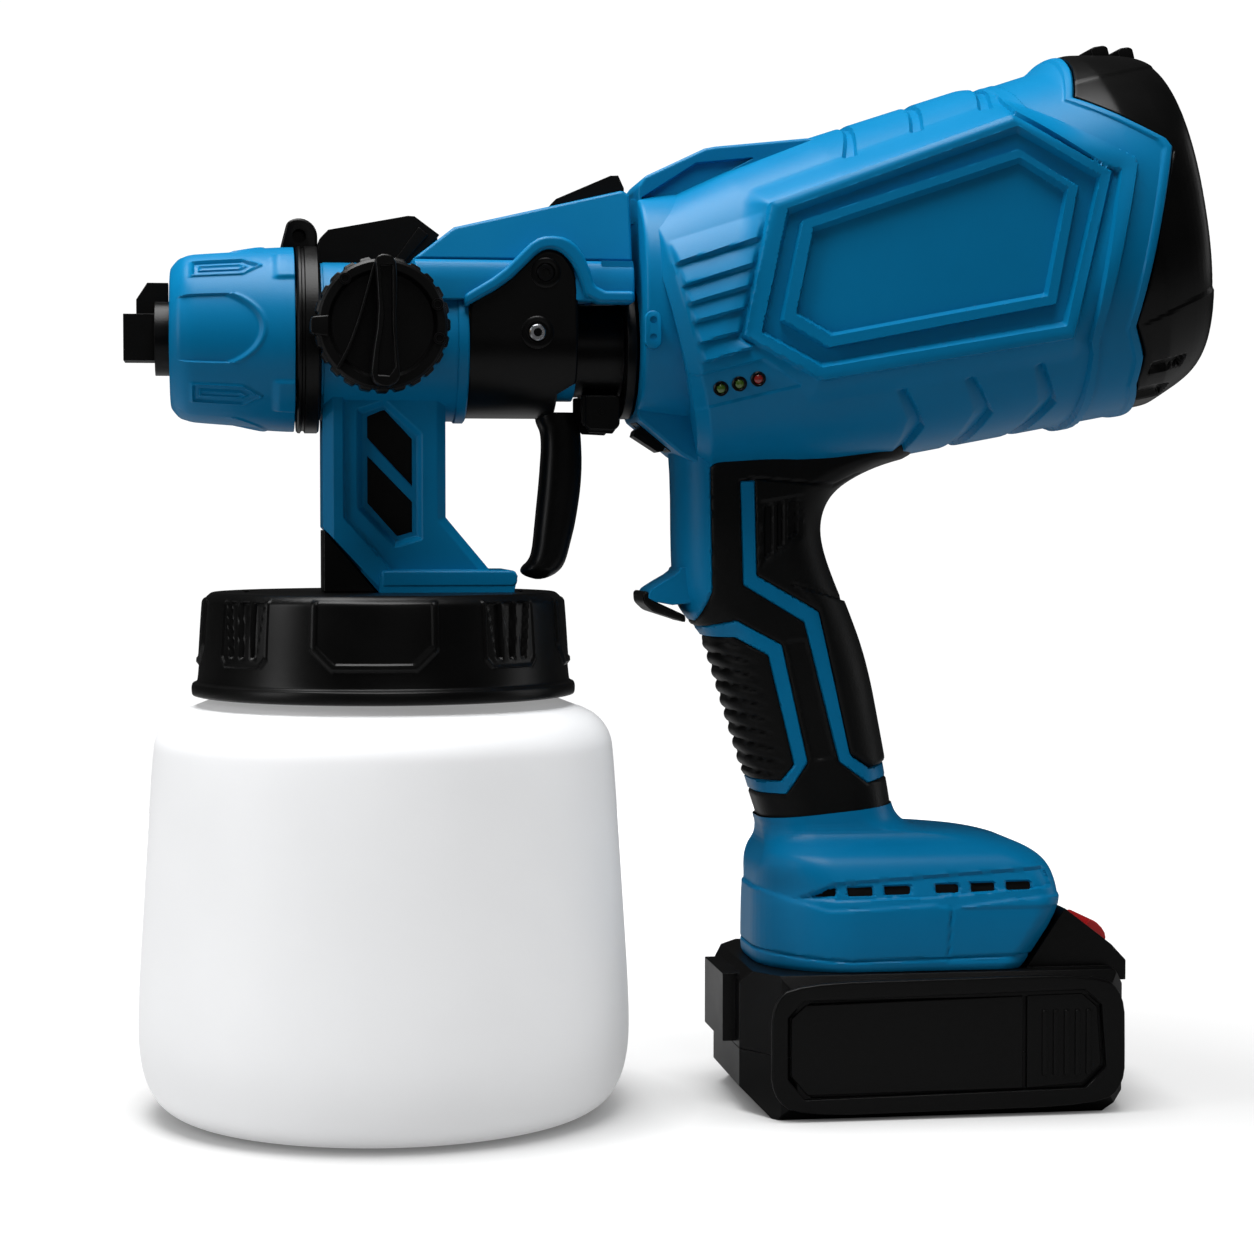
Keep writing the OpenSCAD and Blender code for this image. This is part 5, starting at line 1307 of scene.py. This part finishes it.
# %% Ribbed pad in the front of the grip
RIB_PITCH = 4.05
RIB_START = 89.6
RIB_SLOPE = 0.28
PAD_RAISE = 0.1
skin_x, skin_z = skin[:, :, 0], skin[:, :, 2]
pad_field = inside(skin_x, skin_z, pad_outline) + 0.15
from_front = skin_x - read_off(grip_front, skin_z)
rib_wave = np.abs(np.sin(np.pi * ((skin_z + RIB_SLOPE * from_front - RIB_START) / RIB_PITCH))) ** 0.6
rib_height = (1.25 * rib_wave - 0.75) * (1 - ease(from_front, 5.5, 10.5)) * ease(-pad_field, 0.6, 2)
pad = stepped(skin, skin_normal, rib_height + rolled(pad_field) + PAD_RAISE)
pad_mesh = trimmed("grip_pad_ribbed", pad, skin_normal, pad_field)
add_piece("grip_pad_ribbed", pad_mesh, rubber_black, "turbine_body", ["grip_pad"])
print("ribbed pad:", len(pad_mesh.polygons), "faces")

# %% Finger lip
lip_outline = softened([(84, 150), (81.4, 150), (81.2, 148.6), (75.2, 145.2), (72.6, 143.4), (72.4, 140.8),
                        (81.5, 139.1), (90, 142.6), (90, 150)], 1).tolist()
lip = plate("finger_lip", lip_outline, -10.2, 10.2, 1.2, 3)
add_piece("finger_lip", lip, blue, "turbine_body")
print("finger lip:", len(lip.polygons), "faces")

# %% [markdown]
# ## Battery foot
# The foot flares out of the grip to a flat base that slides over the battery's rails.
# It is another loft: the rear edge of the side view drives the rows, so the nearly
# level top gets as many rows as the steep walls. A belt, a step and a band with five
# slots are cut into the skin.

# %% Foot outlines
foot_rear = softened([(39.95, 174), (41.5, 175.2), (56.5, 185.2), (65, 184.8), (69.4, 182.6), (72.6, 177.5),
                      (75.2, 168.5), (76.2, 160), (76.8, 150), (78.2, 145.8), (80, 143.4), (82, 142.6)], 2)
foot_front = softened([(39.95, 103), (41, 102.3), (60, 102.6), (66.4, 103), (70, 104.2), (74, 105.8),
                       (82, 104.6)], 2)
foot_half = softened([(39.95, 32.2), (41, 32.6), (56.6, 32.6), (59.4, 31.8), (66, 29.8), (70, 27.4),
                      (72.2, 24), (74.4, 19.6), (77, 17.6), (82, 17.0)], 2)
vent_band = [(111.6, 59.4), (121.5, 63.9), (180.5, 67.2), (182, 62.2), (150, 59.9), (122, 59.2)]
vent_tip = [(114.6, 59.9), (121.2, 60.4), (121.4, 62.8), (119, 62.4)]
belt_top = np.array([(80, 62.4), (104, 60.6), (119.3, 56.4), (148.6, 57.7), (153.4, 56.8), (169.8, 58.7),
                     (190, 60)])
belt_low = np.array([(80, 44), (104, 44), (124.9, 42.6), (172.7, 43.4), (190, 44)])
step_line = [(153.1, 56.8), (152.3, 42.5)]

def vent_slot(x, width, low=60.6, high=62.9):
    """A vent slot that starts at x; the row of slots climbs a little towards the rear."""
    climb, climb_end = 0.02 * (x - 124), 0.02 * (x + width - 124)
    return [(x, low + climb), (x + width, low + climb_end), (x + width, high + climb_end), (x, high + climb)]

vent_slots = [vent_slot(x, width) for x, width in
              ((124.6, 7.0), (135.0, 7.2), (149.4, 6.4), (159.4, 6.6), (169.4, 6.8))]
print("vent slots on each side:", len(vent_slots))

# %% Foot's skin
def foot_skin(cols=380):
    """Rounded boxes from the base up into the grip; the upper ones tilt to meet it."""
    run = run_along(foot_rear)
    at = np.linspace(0, run[-1], int(run[-1] / 0.55))
    rows = []
    for z, x1 in zip(*[np.interp(at, run, column) for column in foot_rear.T]):
        half = read_off(foot_half, z)
        neck = ease(z, 58, 76)
        front_corner = min(half - 0.5, 26 * (1 - neck) + 13.2 * neck)
        rear_corner = min(half - 0.5, 7 * (1 - neck) + 13.5 * neck)
        box = rounded_box(read_off(foot_front, z), x1, half, front_corner, rear_corner, cols)
        rows.append(np.column_stack([box, z + 0.1 * (box[:, 0] - 126) * ease(z, 77, 82)]))
    return np.array(rows)

def foot_relief(x, y, z, steep):
    """Height of the foot's relief: the vent band and its slots, the belt, the groove below and the step."""
    height = -0.7 * rise(inside(x, z, vent_band), 0.7) * (np.abs(y) > 12)
    for slot in vent_slots:
        height -= 1.8 * rise(inside(x, z, slot), 0.5) * steep
    height -= 1.2 * rise(inside(x, z, vent_tip), 0.5) * steep
    height += 0.55 * ease(read_off(belt_top, x) - z, -0.3, 0.35)
    height -= 0.5 * rise(np.abs(z - read_off(belt_low, x)) - 0.3, 0.6)
    height -= 0.5 * rise(near(x, z, step_line) - 0.3, 0.6) * steep
    height -= 0.25 * ease(x, 152.6, 153.2) * steep * (z < 56.5) * (z > 42)
    return height

foot = foot_skin()
foot_normal = outward_normals(foot)
steep = np.abs(foot_normal[:, :, 1]) > 0.5
foot = moved_onto(foot, steep, [vent_band] + vent_slots + [vent_tip], 0.7, 0.55)
foot_height = foot_relief(*np.moveaxis(foot, 2, 0), steep)
foot_mesh = outward(grid_mesh("battery_foot_shell", stepped(foot, foot_normal, foot_height), around=True))
print("foot:", len(foot_mesh.polygons), "faces")

# %% Foot's floor with the rail channel
work = bmesh.new()
work.from_mesh(foot_mesh)
rim = [e for e in work.edges if e.is_boundary and all(v.co.z < 41.2 * MM for v in e.verts)]
bmesh.ops.holes_fill(work, edges=rim, sides=0)
work.to_mesh(foot_mesh)
work.free()
channel = cutter([(160, 38), (200, 38), (200, 47.6), (160, 47.6)], -26.8, 26.8)
channel_low = cutter([(112, 38), (200, 38), (200, 47.6), (112, 47.6)], -20.3, 20.3)
foot_mesh = carved(foot_mesh, channel, channel_low)
add_piece("battery_foot_shell", foot_mesh, blue, "turbine_body", ["battery_foot"])
print("foot with channel:", len(foot_mesh.polygons), "faces")

# %% Painted shade: black sheets in the bottoms of the vent slots
SLOT_BOTTOM = 1.55
fx, fz = foot[:, :, 0], foot[:, :, 2]
slot_floor = np.minimum.reduce([inside(fx, fz, slot) for slot in vent_slots + [vent_tip]]) + 9 * ~steep
# A black sheet 1.55 mm down in each slot stands for the shade inside it: painted shade.
painted_slot_shade = trimmed("vent_shadow", stepped(foot, foot_normal, -SLOT_BOTTOM + 0 * fx), foot_normal, slot_floor, 0.4)
add_piece("vent_shadow", painted_slot_shade, black, "turbine_body")
print("vent bottoms:", len(painted_slot_shade.polygons), "faces")

# %% [markdown]
# ## Spray head's skins
# The head's inner body comes from the construction model. Over it go the moulded
# skins: a turned barrel, a fairing that narrows upwards, a rim that arches over the
# trigger's cheeks, and a neck with a raised border and framed windows.

# %% Fairing, made of convex blocks
def block(name, points, bevel=0.8, segments=3):
    """The convex body round a few corner points in mm, with rounded edges."""
    work = bmesh.new()
    for point in points:
        work.verts.new([c * MM for c in point])
    bmesh.ops.convex_hull(work, input=work.verts)
    bmesh.ops.dissolve_limit(work, angle_limit=math.radians(1), verts=work.verts, edges=work.edges)
    bmesh.ops.recalc_face_normals(work, faces=work.faces)
    mesh = bpy.data.meshes.new(name)
    work.to_mesh(mesh)
    work.free()
    return rounded(mesh, bevel, segments)

FAIRING_HALF = 18.5
FAIRING_LEAN = 0.2
FAIRING_LOW = 233.4
fairing_side = [(17.2, 241.4), (18.4, 242.3), (64.8, 253.2), (66.6, 251.8), (7.0, FAIRING_LOW),
                (66.9, FAIRING_LOW)]
fairing = block("fairing", [(x, side * (FAIRING_HALF - (z - FAIRING_LOW) * FAIRING_LEAN), z)
                            for x, z in fairing_side for side in SIDES], 0.9)
belly_section = [(18.4, 233.5), (20.4, 232.6), (21.6, 230.6), (22.2, 227.4), (22.3, 222.4), (17.5, 222.2)]
belly = [block("belly", [(x, side * y, z) for x in (7.4, 66.9) for y, z in belly_section], 0.4)
         for side in SIDES]
print("fairing and its belly:", len(fairing.polygons) + sum(len(part.polygons) for part in belly), "faces")

# %% Barrel and arch
head_profile = [(-17.4, 19), (-17.4, 21.6), (-16.8, 22.2), (18.9, 22.2), (19.3, 22.7), (21.7, 22.7),
                (22.1, 22.2), (22.1, 19)]
head_barrel = spun("barrel", head_profile, (0, 0, AXIS_Z), (1, 0, 0), 144, closed=True)
arch_outer = [(20.6, 223.6), (30.2, 229.4), (35.4, 234.6), (39.4, 238.6), (43.3, 239.8), (48.4, 239.2),
              (52.1, 236.1), (54.7, 230.6), (56.2, 225.0), (66.8, 225.0)]
arch_inner = [(66.8, 221.7), (53.8, 221.7), (51.6, 228.8), (49.2, 233.2), (46.4, 235.6), (43.4, 236.3),
              (40.6, 235.2), (37.0, 231.6), (31.8, 226.6), (20.6, 220.2)]
arch_outline = softened(arch_outer, 1).tolist() + softened(arch_inner, 1).tolist()
between = cutter([(0, 200), (80, 200), (80, 260), (0, 260)], -17.9, 17.9)
arch = carved(plate("arch", arch_outline, -24.0, 24.0, 1.1, 4), between)
head_skin = joined("head_skin", head_barrel, fairing, *belly, arch)
add_piece("head_skin", head_skin, blue, "spray_head")
print("head skin:", len(head_skin.polygons), "faces")

# %% Neck's side walls
NECK_HALF = 14.3
BORDER_RAISE = 0.9
WINDOW_DEPTH = 1.9
neck_area = [(-17.1, 198), (-17.1, 161.1), (-1.4, 144.1), (34.6, 144.1), (35.2, 149), (28.4, 149.2),
             (16.2, 163.8), (16.2, 198)]
border = [(-30, 198), (-30, 140), (40, 140), (40, 149.3), (1.4, 149.3), (-11.5, 163.8), (-11.5, 198)]
rear_slope = [(16.2, 200), (16.2, 163.8), (28.4, 149.2)]
window_frame = [(-7.2, 192.6), (-0.4, 194.9), (9.1, 186.3), (9.1, 158.3), (2.4, 156.4), (-7.1, 166.4)]
upper_window = [(-5.1, 191.2), (-0.4, 193.1), (7.1, 185.1), (7.1, 171.9), (-5.1, 185.1)]
lower_window = [(-5.1, 180.6), (7.1, 168), (7.1, 159.5), (2.9, 158.7), (-5.1, 167.7)]
neck_edges = [edge_of(border, 0.7)]
neck_edges += [edge_of(outline, 0) for outline in (neck_area, window_frame, upper_window, lower_window)]

def neck_side_mesh(name, side, cell=0.34):
    """One side wall of the neck: chamfered front and rear, a raised border and framed windows."""
    x, z = np.meshgrid(np.arange(-18, 36.6, cell), np.arange(143.2, 198.6, cell), indexing="ij")
    x, z = snapped(x, z, neck_edges, cell)
    height = BORDER_RAISE * rise(inside(x, z, border), 0.7)
    height -= np.clip(-14.4 - x, 0, 2.8)
    height -= 0.8 * np.clip(2.4 - near(x, z, rear_slope), 0, 2.4) * (z > 149.6)
    height -= WINDOW_DEPTH * rise(inside(x, z, window_frame), 1.9)
    windows = np.minimum(inside(x, z, upper_window), inside(x, z, lower_window))
    field = np.maximum(inside(x, z, neck_area), -windows)
    grid = np.stack([x, side * (NECK_HALF + height), z], -1)
    normal = np.zeros(grid.shape)
    normal[:, :, 1] = side
    if side > 0:
        grid, normal, field = grid[::-1], normal[::-1], field[::-1]
    return trimmed(name, grid, normal, field, 2.4, closed=False)

base_outline = [(-1.5, 144.9), (34.4, 144.9), (35.4, 145.9), (35.4, 148.4), (34.4, 149.4), (-1.5, 149.4)]
neck_walls = [neck_side_mesh("wall", side) for side in SIDES]
neck_skin = joined("neck_skin", *neck_walls, plate("base", base_outline, -17.2, 17.2, 0.8, 3))
print("neck skin:", len(neck_skin.polygons), "faces")

# %% Inner body, cut back behind the neck's walls
trim = [(-18, 149.4), (36.5, 149.4), (36.5, 197), (-18, 197)]
gun_copy = cad_copy("gun_body_rounded", "gun_body", 0)
gun_copy = rounded(carved(gun_copy, *[cutter(trim, side * 11.9, side * 20) for side in SIDES]), 0.4)
add_piece("gun_body_rounded", gun_copy, blue, "spray_head", ["gun_body"])
add_piece("neck_skin", neck_skin, blue, "spray_head", sharp=25)
print("inner body:", len(gun_copy.polygons), "faces")

# %% Top shroud
shroud_outline = [(-18.1, 231.5), (-18.1, 239.0), (-15.4, 241.9), (6.3, 246.1), (8.0, 245.6), (15.0, 240.1),
                  (9.5, 233.6), (7.5, 231.5)]
sunk_outline = [(-12.6, 228), (-12.6, 239.6), (4.6, 243.2), (7.4, 240.6), (0.6, 233.6), (-1.0, 228)]
shroud_band = [(9.3, 243.0), (12.0, 240.9), (5.2, 233.0), (2.0, 233.0)]
shroud = plate("shroud", shroud_outline, -8.4, 8.4, 1.1, 3)
shroud = carved(shroud, *[cutter(sunk_outline, side * 7.6, side * 12) for side in SIDES])
bands = [plate("band", shroud_band, side * 8.2, side * 9.0, 0.3) for side in SIDES]
shroud = joined("shroud_skin", rounded(shroud, 0.25, 1, 50), *bands)
add_piece("shroud_skin", shroud, black, "spray_head")
print("shroud:", len(shroud.polygons), "faces")

# %% [markdown]
# ## Trigger and its saddle
# The trigger hangs from a black saddle that wraps round the head's barrel: flat cheeks
# above and a half tube below. The lever is a flat curved bar, well rounded at its edge.

# %% Saddle
def softened_ring(outline):
    """A closed outline with each corner but the first cut once."""
    return softened(outline + outline[:1], 1)[1:].tolist()

SADDLE_HALF = 22.4
SADDLE_DROP = 21.3
CHEEK_HEIGHT = 26
saddle_side = [(21.7, 170), (21.7, 200), (21.7, 219), (22.2, 221.9), (30.8, 226.3), (36.4, 231.6),
               (40.2, 235.2), (43.2, 236.3), (46.4, 235.6), (49.0, 233.2), (50.9, 229.4), (51.5, 224),
               (51.5, 200), (51.5, 170)]

def saddle_mesh(name, cols=170):
    """Down one cheek, round the half tube and up the other cheek, trimmed to the side view."""
    drop = np.linspace(CHEEK_HEIGHT, 0, 70)
    arc = np.radians(np.linspace(0, 180, 120))[1:-1]
    flat = 0 * drop
    y = np.concatenate([-SADDLE_HALF + flat, -SADDLE_HALF * np.cos(arc), SADDLE_HALF + flat])
    z = AXIS_Z + np.concatenate([drop, -SADDLE_DROP * np.sin(arc), drop[::-1]])
    out_y = np.concatenate([-1 + flat, -np.cos(arc), 1 + flat])
    out_z = np.concatenate([flat, -np.sin(arc), flat])
    x = np.linspace(18.6, 52.6, cols)[:, None] + 0 * y
    grid = np.stack([x, y + 0 * x, z + 0 * x], -1)
    normal = np.stack([0 * x, out_y + 0 * x, out_z + 0 * x], -1)
    field = inside(grid[:, :, 0], grid[:, :, 2], softened_ring(saddle_side))
    # The half tube is cut back at its foot, so that it clears the lock block when pulled
    field = np.maximum(field, grid[:, :, 0] - 46.6 - 1.6 * np.clip(grid[:, :, 2] - 197, 0, 20))
    return trimmed(name, stepped(grid, normal, rolled(field, 0.9)), normal, field, 3.4, closed=False)

saddle = saddle_mesh("saddle")
print("saddle:", len(saddle.polygons), "faces")

# %% Lever
LEVER_TIP, LEVER_TOP = 146.7, 193.4
lever_front = softened([(146.7, 41.8), (147.4, 39.4), (148.6, 37.9), (150.2, 38.4), (151.6, 40.2),
                        (154.2, 41.4), (163.1, 42.2), (175, 43.4), (186.8, 44.2), (190.5, 42.2),
                        (193.4, 42.4), (200, 45)], 2)
lever_rear = softened([(146.7, 43.4), (147.0, 45), (148.2, 47.6), (150.6, 49.9), (156.1, 51.4), (163, 53.2),
                       (175.6, 55), (188.2, 54.5), (193.4, 53.4), (200, 52)], 2)

def lever_mesh(name, cols=88):
    """Rounded boxes from the tip up, closer together where the tip is round."""
    rows = []
    for z in np.concatenate([np.arange(LEVER_TIP, 151.5, 0.25), np.arange(151.5, LEVER_TOP, 0.7)]):
        x0, x1 = read_off(lever_front, z), read_off(lever_rear, z)
        half = 7.2 - 3.6 * (1 - ease(z, 146.2, 150.5)) ** 2
        corner = min(half, (x1 - x0) / 2) * 0.86
        rows.append(np.column_stack([rounded_box(x0, x1, half, corner, corner, cols), np.full(cols, z)]))
    return outward(grid_mesh(name, np.array(rows), around=True, ends=(True, True)))

trigger_skin = joined("trigger_skin", saddle, lever_mesh("lever"))
add_piece("trigger_skin", trigger_skin, black, "trigger", ["trigger"])
print("trigger:", len(trigger_skin.polygons), "faces")

# %% Lock block under the barrel, slotted so that the pulled lever swings into it
block_outline = [(54.6, 189.4), (56, 187.9), (63, 187.6), (64.6, 189.2), (64.9, 196.6), (64, 197.6),
                 (54.6, 197.6)]
catch_outline = [(53.8, 197.4), (53.8, 189.6), (54.6, 189), (55.2, 189.6), (55.2, 197.4)]
lip_outline = [(55.4, 188.2), (56.2, 187.2), (62.6, 186.9), (63.4, 187.9)]
dot_profile = [(-1, 0.95), (0.35, 0.9), (0.35, 0.02)]
lever_slot = cutter([(50, 185), (62.8, 185), (62.8, 197), (50, 197)], -7.7, 7.7)
lock_pieces = [rounded(carved(plate("block", block_outline, -9.5, 9.5, 0.8, 3), lever_slot), 0.2, 1, 50)]
for side in SIDES:
    lock_pieces.append(plate("lip", lip_outline, side * 7.9, side * 8.8, 0.2))
    lock_pieces.append(plate("catch", catch_outline, side * 7.9, side * 10.2, 0.4))
    lock_pieces.append(spun("dot", dot_profile, (59.6, side * 9.5, 193.2), (0, side, 0), 20))
lock = joined("lock_skin", *lock_pieces)
add_piece("lock_skin", lock, black, body_of("lock_block"), ["lock_block"])
print("lock block:", len(lock.polygons), "faces")

# %% Pivot and driver screws
PIVOT = (42.6, 229.8)
DRIVER = (40.4, 213.7)

def screw_head(at, y, radius, hole, side):
    """A round screw head with a socket in it."""
    x, z = at
    profile = [(-1, radius), (0.25, radius), (0.55, radius - 0.3), (0.55, hole * 1.05), (-0.9, hole),
               (-0.9, 0.01)]
    return spun("head", profile, (x, side * y, z), (0, side, 0), 36)

def screw_ring(at, radius, side):
    """The raised ring that a screw head sits in."""
    x, z = at
    profile = [(-0.5, radius - 1.4), (0.4, radius - 1.1), (0.4, radius), (0.1, radius + 0.4),
               (-0.5, radius + 0.4)]
    return spun("ring", profile, (x, side * SADDLE_HALF, z), (0, side, 0), 44, closed=True)

driver_heads = [screw_head(DRIVER, 22.5, 2.2, 1.1, side) for side in SIDES]
rings = [screw_ring(at, radius, side) for at, radius in ((DRIVER, 4.0), (PIVOT, 3.7)) for side in SIDES]
pivot_heads = [screw_head(PIVOT, 22.3, 2.4, 1.2, side) for side in SIDES]
pivot_pins = [spun("pin", [(0, 2.0), (7, 2.0)], (PIVOT[0], side * 15.2, PIVOT[1]), (0, side, 0), 32)
              for side in SIDES]
add_piece("driver_heads", joined("driver_heads", *driver_heads), steel, "trigger", ["driver_screws"])
add_piece("trigger_rings", joined("trigger_rings", *rings), black, "trigger")
pivots = joined("pivot_heads", *pivot_heads, *pivot_pins)
add_piece("pivot_heads", pivots, dark_steel, body_of("pivot_screws"), ["pivot_screws"])
print("screw heads:", len(driver_heads) + len(pivot_heads))

# %% [markdown]
# ## Flow knob
# A round knob on the near side sets the paint flow: a dished disc with a raised rim, a
# toothed edge, a finger bar across it, a thin curved fin and a pointer tab.

# %% Knob
KNOB_X, KNOB_Y, KNOB_Z = -2.0, -30, 214.6
TOOTH_COUNT = 24
MARKS_RADIUS = 15.3
disc_profile = [(-4.6, 0.01), (-4.6, 15.6), (-3.6, 17.0), (4.8, 17.3), (6.4, 17.1), (7.1, 16.4), (7.1, 14.4),
                (6.3, 13.8), (5.6, 13.4), (5.4, 0.01)]
knob_disc = spun("disc", disc_profile, (KNOB_X, KNOB_Y, KNOB_Z), (0, -1, 0), 120)
tooth_corners = [(x, y, KNOB_Z + z) for x in (KNOB_X - 1.75, KNOB_X + 1.75) for y in (-27.0, -36.0)
                 for z in (15.8, 17.0)]
tooth_corners += [(x, y, KNOB_Z + 17.95) for x in (KNOB_X - 1.3, KNOB_X + 1.3) for y in (-27.8, -35.2)]
knob_teeth = ring(block("tooth", tooth_corners, 0.3, 2), black, TOOTH_COUNT, (KNOB_X, KNOB_Y, KNOB_Z),
                  (0, 1, 0), 360 / TOOTH_COUNT)
bar_outline = [(-4.3, 231.4), (-2.0, 232.6), (1.0, 231.6), (1.5, 226), (1.1, 214), (1.9, 203), (2.2, 199.6),
               (-1.6, 197.2), (-5.6, 199.6), (-5.0, 206), (-3.4, 216), (-3.9, 226)]
bar_hollow = [(-3.0, 229.4), (0.2, 229.6), (0.2, 214), (1.0, 203), (-0.6, 200.6), (-3.8, 200.8), (-3.4, 207),
              (-2.0, 216)]
knob_bar = plate("bar", softened_ring(bar_outline), -43.8, -35, 0.8, 3)
knob_bar = rounded(carved(knob_bar, cutter(bar_hollow, -50, -42.3)), 0.3, 2, 50)
fin_left = [(-4.4, 230.8), (-6.2, 224), (-8.6, 215.5), (-11.4, 208), (-14.4, 202.8)]
fin_right = [(-13.6, 202.2), (-10.6, 207.4), (-7.8, 215.0), (-5.4, 223.7), (-3.6, 230.4)]
knob_fin = plate("fin", softened(fin_left, 2).tolist() + softened(fin_right, 2).tolist(), -38.2, -35, 0.25)
tab_outline = [(-21.0, 212.4), (-21.0, 215.6), (-20.2, 216.4), (-16, 216.8), (-16, 211.2), (-20.2, 211.6)]
knob_tab = plate("tab", tab_outline, -37.6, -31, 0.5)
mark_profile = [(6.9, 0.9), (7.5, 1.0), (7.5, 1.5), (6.9, 1.6)]
marks = [spun("mark", mark_profile,
              (KNOB_X + MARKS_RADIUS * math.cos(a), KNOB_Y, KNOB_Z + MARKS_RADIUS * math.sin(a)),
              (0, -1, 0), 20, closed=True) for a in np.radians([-14, 20, 130])]
knob = joined("knob", knob_disc, knob_teeth, knob_bar, knob_fin, knob_tab, *marks)
add_piece("knob", knob, black, "flow_knob", ["flow_knob"], 30)
print("knob:", len(knob.polygons), "faces")

# %% [markdown]
# ## Battery's side panels
# Each long side of the battery carries an eight-sided frame round a sunk panel, and at
# the rear end of that panel a smaller field with upright ribs.

# %% Battery panels
PANEL_START = 36.6
frame_outer = softened([(102.0, 20), (102.0, 32.2), (108.2, 38.0), (150, 38.4), (194.2, 38.8), (200.6, 32.8),
                        (200.8, 20), (200.8, 8), (194, 2.4), (150, 2), (109.4, 1.6), (102.0, 7.4),
                        (102.0, 20)], 2)[1:].tolist()
frame_inner = [(106.4, 12), (106.4, 28.6), (110.6, 33.2), (189.2, 34.6), (194.0, 30.4), (195.4, 13.0),
               (189.6, 7.4), (111.2, 6.2)]
panel_outline = [(107.4, 12.6), (107.4, 28.4), (111.4, 32), (172, 33.2), (172, 7.6), (112, 7.2)]
field_outline = [(173.2, 7.6), (173.2, 33.3), (188.6, 33.5), (193.0, 29.8), (194.2, 13.6), (188.8, 8.6)]
rib_outline = [(177.4, 11.0), (177.4, 29.0), (178.8, 29.0), (178.8, 11.0)]

def battery_side(side):
    """The frame, the panel, the field and its five ribs on one side of the battery."""
    def raised(name, outline, top, bevel, segments=2, low=PANEL_START):
        return plate(name, outline, side * low, side * top, bevel, segments)
    hollow = cutter(frame_inner, side * 30, side * 45)
    frame_ring = rounded(carved(raised("frame", frame_outer, 38.6, 0.7, 3), hollow), 0.25, 1, 50)
    panel, field = raised("panel", panel_outline, 37.9, 0.4), raised("field", field_outline, 37.7, 0.3)
    ribs = row(raised("rib", rib_outline, 38.3, 0.3, low=36.8), black, 5, (3.1, 0, 0))
    return [frame_ring, panel, field, ribs]

battery_panels = joined("battery_panels", *[part for side in SIDES for part in battery_side(side)])
add_piece("battery_panels", battery_panels, black, "battery")
print("battery panels:", len(battery_panels.polygons), "faces")

# %% [markdown]
# ## Release button
# The red button behind the battery frees it when it is pressed down. It is one rounded
# plate across the battery: its side view has the thumb's hollow and the hook behind it.

# %% Release button
button_outline = [(190.4, 49.9), (192.2, 50.9), (197.4, 47.2), (198.6, 49.6), (200.4, 49.6), (203.4, 46.6),
                  (204.0, 43.8), (201.6, 41.5)]
button = plate("release_button_cap", softened_ring(button_outline), -11, 11, 0.6, 3)
add_piece("release_button_cap", button, red_button, "release_button", ["release_button"])
print("button:", len(button.polygons), "faces")
